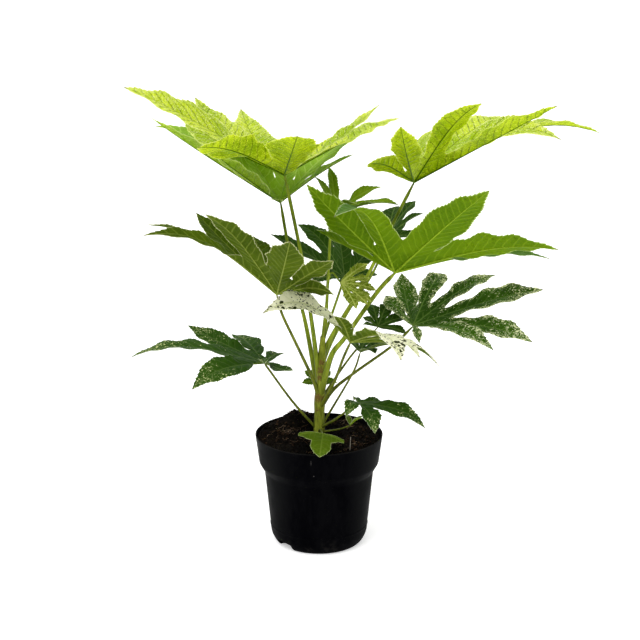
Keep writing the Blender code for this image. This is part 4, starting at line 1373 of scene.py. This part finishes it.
def bent_copies(nodes, points, item, turn, size, clouds, centre, reach):
    """A copy of an item on every point, made real and then bent by clouds of noise."""
    placed = nodes.add("GeometryNodeInstanceOnPoints", {
        "Points": points, "Instance": item, "Rotation": turn, "Scale": size})
    real = nodes.add("GeometryNodeRealizeInstances", {"Geometry": placed.outputs[0]})
    place = nodes.add("GeometryNodeInputPosition").outputs[0]
    away = nodes.vector("SUBTRACT", nodes.clouds(place, *clouds)["Color"], centre)
    return nodes.add("GeometryNodeSetPosition", {
        "Geometry": real.outputs[0], "Offset": nodes.scaled(away, reach)}).outputs[0]


def build_crumbs(name):
    """Crumbs of soil spread over the upward faces of a surface."""
    nodes, inlet, outlet, points = new_scatter(
        name, {"Facets": 1, "Flatness": 0.7}, 45.0, (0.35, 0.65, 0.25, 1.0))
    crumb = nodes.add("GeometryNodeMeshIcoSphere", {
        "Radius": 1.0, "Subdivisions": inlet["Facets"]}).outputs["Mesh"]
    turn = nodes.random((0, 0, 0), (2 * pi, 2 * pi, 2 * pi), inlet["Seed"])
    small_more = nodes.math("POWER", nodes.random(0.0, 1.0, inlet["Seed"]), 2.2)
    reach = nodes.times_plus(
        small_more, nodes.minus(inlet["Largest"], inlet["Smallest"]), inlet["Smallest"])
    size = nodes.from_parts(
        reach, nodes.times(reach, 0.8), nodes.times(reach, inlet["Flatness"]))
    lumps = bent_copies(nodes, points, crumb, turn, size, (700.0, 2.0), (0.5, 0.5, 0.5),
                        nodes.times(inlet["Largest"], 1.1))
    return finish_geometry(nodes, lumps, inlet["Finish"], outlet, smooth=False)


def build_fibres(name):
    """Thin bent fibres that lie over the upward faces of a surface."""
    nodes, inlet, outlet, points = new_scatter(name, {"Thickness": 0.0002}, 30.0, (0.42, 0.6))
    line = nodes.add("GeometryNodeCurvePrimitiveLine", {
        "Start": (-0.5, 0, 0.05), "End": (0.5, 0, 0.05)})
    fibre = nodes.add("GeometryNodeResampleCurve", {"Curve": line.outputs[0], "Count": 6})
    turn = nodes.random((-0.25, -0.35, 0), (0.25, 0.35, 2 * pi), inlet["Seed"])
    size = nodes.random(inlet["Smallest"], inlet["Largest"], inlet["Seed"])
    bent = bent_copies(nodes, points, fibre.outputs[0], turn, size, (160.0, 1.0),
                       (0.5, 0.5, 0.38), 0.007)
    tube = round_tube(nodes, bent, 4, inlet["Thickness"])
    return finish_geometry(nodes, tube, inlet["Finish"], outlet)


def soil_surface():
    """The soil as a closed mesh: a fine uneven top over a plain body inside the pot."""
    slope = (RIM_RADIUS - COLLAR_RADIUS) / (POT_HEIGHT - COLLAR_HEIGHT)
    collar = COLLAR_RADIUS - POT_WALL - SOIL_GAP
    brim = collar + slope * (SOIL_EDGE - COLLAR_HEIGHT)
    top = [(brim * ring / SOIL_RINGS, SOIL_EDGE) for ring in range(SOIL_RINGS + 1)]
    low = [
        (collar, COLLAR_HEIGHT + POT_WALL / 2),
        (NECK_RADIUS - POT_WALL - SOIL_GAP, NECK_HEIGHT + POT_WALL / 2),
        (HEEL_RADIUS - POT_WALL - SOIL_GAP, HEEL_HEIGHT + POT_WALL),
        (SOIL_FOOT_RADIUS, POT_FLOOR + SOIL_GAP), (0, POT_FLOOR + SOIL_GAP),
    ]
    soil = turned("soil_fine", [*top, *low], SOIL_SPOKES)
    for vertex in soil.data.vertices:
        place = vertex.co
        if place.z > SOIL_EDGE - MM:
            edge = smooth_step((brim - hypot(place.x, place.y)) / BRIM_WIDTH)
            share = BRIM_SHARE + (1 - BRIM_SHARE) * edge
            place.z += (soil_height(place.x, place.y) - SOIL_EDGE) * share
    return soil


def make_soil(settings):
    """The crumbly filling with its crumbs, clumps and fibres, in place of its node."""
    soil = soil_surface()
    soil.data.materials.append(soil_material("soil", settings.light, settings.deep, 0.95))
    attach(soil, ROOT)
    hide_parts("soil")
    crumb, clump = settings.crumb_size, 2.2 * settings.crumb_size
    layers = (
        ("soil_crumbs", "Scattered crumbs", build_crumbs,
         soil_material("soil_crumb", settings.light, settings.deep, 0.95),
         dict(Density=settings.crumb_density, Smallest=0.3 * crumb, Largest=crumb, Facets=1,
              Flatness=0.75, Seed=settings.seed, Reach=CRUMB_REACH)),
        ("soil_clumps", "Scattered crumbs", build_crumbs,
         soil_material("soil_clump", settings.fibre, settings.deep, 0.95),
         dict(Density=settings.crumb_density / 14, Smallest=crumb, Largest=clump, Facets=2,
              Flatness=0.6, Seed=settings.seed + 1, Reach=CRUMB_REACH)),
        ("soil_fibres", "Scattered fibres", build_fibres,
         soil_material("soil_fibre", settings.straw, settings.fibre, 0.8),
         dict(Density=settings.fibre_density, Smallest=3 * MM, Largest=12 * MM,
              Thickness=0.26 * MM, Seed=settings.seed + 2, Reach=FIBRE_REACH)),
    )
    for name, tree_name, build, finish, values in layers:
        layer = link_object(name, soil.data.copy())
        run_tree(layer, shared_tree(tree_name, build), Finish=finish, **values)
        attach(layer, ROOT)
    twig = sweep("dry_twig", [[(Vector(point) * MM, radius * MM) for point, radius in TWIG]], 8,
                 soil_material("dry_twig", TWIG_PALE, TWIG_GREY, 0.8))
    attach(twig, ROOT)


def make_floor():
    skin = Skin("floor_paper", 0.9, 0.1, (0.93, 0.93, 0.93))
    skin.patches((0.90, 0.90, 0.90), 2.0, 0.3, 0.7)
    skin.put(skin.shader.inputs["Emission Color"], (1.0, 1.0, 1.0))
    skin.put(skin.shader.inputs["Emission Strength"], FLOOR_GLOW)
    mesh = bpy.data.meshes.new("studio_floor")
    half = FLOOR_SIZE / 2
    mesh.from_pydata([(-half, -half, 0), (half, -half, 0), (half, half, 0), (-half, half, 0)],
                     [], [(0, 1, 2, 3)])
    mesh.materials.append(skin.done())
    link_object("studio_floor", mesh)


def make_sky(settings):
    """Soft light from all round: full from above, behind and the sides, dim from the front."""
    world = bpy.data.worlds.new("studio_light")
    bpy.context.scene.world = world
    world.use_nodes = True
    nodes = Nodes(world.node_tree)
    background = world.node_tree.nodes["Background"]
    way = nodes.parts(nodes.add("ShaderNodeTexCoord").outputs["Generated"])
    dim = nodes.times(nodes.falling(way["Y"], -0.75, 0.15), nodes.falling(way["Z"], 0.25, 0.85))
    nodes.put(background.inputs["Color"], nodes.mix(dim, (1.0, 1.0, 1.0), FRONT_GREY))
    nodes.put(background.inputs["Strength"], settings.sky)


def make_key(settings):
    lamp = bpy.data.lights.new("key_light", "SUN")
    lamp.energy = settings.key
    lamp.angle = radians(KEY_SOFTNESS)
    item = link_object("key_light", lamp)
    item.rotation_euler = [radians(angle) for angle in KEY_TURN]
    item.location = (0, 0, 2)


def make_camera():
    lens = bpy.data.cameras.new("photo_view")
    lens.sensor_width = CAMERA_SENSOR
    lens.lens = CAMERA_LENS
    lens.clip_end = 200
    item = link_object("photo_view", lens)
    item.location = CAMERA_PLACE
    item.rotation_euler = [radians(angle) for angle in CAMERA_TURN]
    bpy.context.scene.camera = item


def length_property(name, description, default):
    return FloatProperty(name=name, description=description, default=default, min=0.0,
                         unit="LENGTH", precision=5)


def colour_property(name, description, default):
    return FloatVectorProperty(name=name, description=description, default=default,
                               subtype="COLOR", size=3, min=0.0, max=1.0)


class FatsiaLeafSettings(PropertyGroup):
    thickness: length_property("Blade thickness", "Thickness of each leaf's blade", 0.5 * MM)
    tooth_spacing: length_property("Tooth spacing", "Distance between the margin's teeth", 6.8 * MM)
    tooth_depth: length_property("Tooth depth", "How far a tooth stands out", 1.5 * MM)
    vein_spacing: length_property("Vein spacing", "Distance between side veins", 13 * MM)
    pleat_height: length_property("Pleat height", "Depth of the pleats between side veins", 0.5 * MM)


class FatsiaStemSettings(PropertyGroup):
    bark: colour_property("Bark", "Pale green of the young bark", (0.36, 0.41, 0.040))
    bark_deep: colour_property("Deeper bark", "Darker green streaks", (0.15, 0.18, 0.010))
    scar: colour_property("Leaf scars", "Brown of the old leaf scars", (0.16, 0.105, 0.020))


class FatsiaPotSettings(PropertyGroup):
    plastic: colour_property("Plastic", "Black of the moulded plastic", (0.0008, 0.0008, 0.0014))
    scuffed: colour_property("Scuffed plastic", "Greyer, rubbed plastic", (0.0022, 0.0022, 0.0028))
    # The side sheen is a painted reflection on the pot's left and right sides
    worn: colour_property("Painted side sheen", "Greyer painted sheen towards the sides", (0.009, 0.0095, 0.0095))
    dust: colour_property("Dust", "Soil dust at the foot, and the lighter lip", (0.035, 0.032, 0.028))


class FatsiaSoilSettings(PropertyGroup):
    light: colour_property("Light soil", "Drier crumbs", (0.007, 0.005, 0.0038))
    deep: colour_property("Deep soil", "Moist soil", (0.0022, 0.0018, 0.0016))
    fibre: colour_property("Fibres", "Peat and bark fibres", (0.060, 0.034, 0.020))
    straw: colour_property("Straw", "Palest fibres", (0.34, 0.24, 0.17))
    crumb_size: length_property("Crumb size", "Radius of the largest crumbs", 1.7 * MM)
    crumb_density: FloatProperty(
        name="Crumb density", description="Crumbs on each square metre", default=150000, min=0)
    fibre_density: FloatProperty(
        name="Fibre density", description="Fibres on each square metre", default=22000, min=0)
    seed: IntProperty(name="Seed", description="Seed of the scatter", default=7, min=0)


class FatsiaStageSettings(PropertyGroup):
    sky: FloatProperty(
        name="Sky light", description="Strength of the light from all round", default=1.05, min=0)
    key: FloatProperty(
        name="Key light", description="Strength of the soft light from above", default=1.2, min=0)


class FATSIA_OT_leaves(Operator):
    """Make the leaves with their stalks"""
    bl_idname = "fatsia.leaves"
    bl_label = "Leaves"

    def execute(self, context):
        for name, leaf in LEAVES.items():
            make_leaf(name, leaf, LOOKS[name], context.scene.fatsia_leaves)
        return {"FINISHED"}


class FATSIA_OT_stem(Operator):
    """Make the stem with its leaf scars"""
    bl_idname = "fatsia.stem"
    bl_label = "Stem"

    def execute(self, context):
        make_stem(context.scene.fatsia_stem)
        return {"FINISHED"}


class FATSIA_OT_pot(Operator):
    """Make the nursery pot"""
    bl_idname = "fatsia.pot"
    bl_label = "Pot"

    def execute(self, context):
        make_pot(context.scene.fatsia_pot)
        return {"FINISHED"}


class FATSIA_OT_soil(Operator):
    """Make the soil with its crumbs and fibres"""
    bl_idname = "fatsia.soil"
    bl_label = "Soil"

    def execute(self, context):
        make_soil(context.scene.fatsia_soil)
        return {"FINISHED"}


class FATSIA_OT_stage(Operator):
    """Make the floor, the lights and the camera"""
    bl_idname = "fatsia.stage"
    bl_label = "Stage"

    def execute(self, context):
        settings = context.scene.fatsia_stage
        make_floor()
        make_sky(settings)
        make_key(settings)
        make_camera()
        context.scene.view_settings.view_transform = "Standard"
        return {"FINISHED"}


PIECES = (
    ("fatsia_leaves", FatsiaLeafSettings, FATSIA_OT_leaves),
    ("fatsia_stem", FatsiaStemSettings, FATSIA_OT_stem),
    ("fatsia_pot", FatsiaPotSettings, FATSIA_OT_pot),
    ("fatsia_soil", FatsiaSoilSettings, FATSIA_OT_soil),
    ("fatsia_stage", FatsiaStageSettings, FATSIA_OT_stage),
)


class FATSIA_PT_panel(Panel):
    """The pieces of the plant and their sizes and colours"""
    bl_idname = "FATSIA_PT_panel"
    bl_label = "Potted Fatsia"
    bl_space_type = "VIEW_3D"
    bl_region_type = "UI"
    bl_category = "Fatsia"

    def draw(self, context):
        for settings_name, group, operator in PIECES:
            box = self.layout.box()
            box.operator(operator.bl_idname)
            settings = getattr(context.scene, settings_name)
            for setting in group.__annotations__:
                box.prop(settings, setting)


def register():
    for settings_name, group, operator in PIECES:
        bpy.utils.register_class(group)
        setattr(bpy.types.Scene, settings_name, PointerProperty(type=group))
        bpy.utils.register_class(operator)
    bpy.utils.register_class(FATSIA_PT_panel)


def unregister():
    bpy.utils.unregister_class(FATSIA_PT_panel)
    for settings_name, group, operator in reversed(PIECES):
        bpy.utils.unregister_class(operator)
        delattr(bpy.types.Scene, settings_name)
        bpy.utils.unregister_class(group)


def main():
    register()
    bpy.ops.fatsia.leaves()
    bpy.ops.fatsia.stem()
    bpy.ops.fatsia.pot()
    bpy.ops.fatsia.soil()
    bpy.ops.fatsia.stage()


if __name__ == "__main__":
    main()
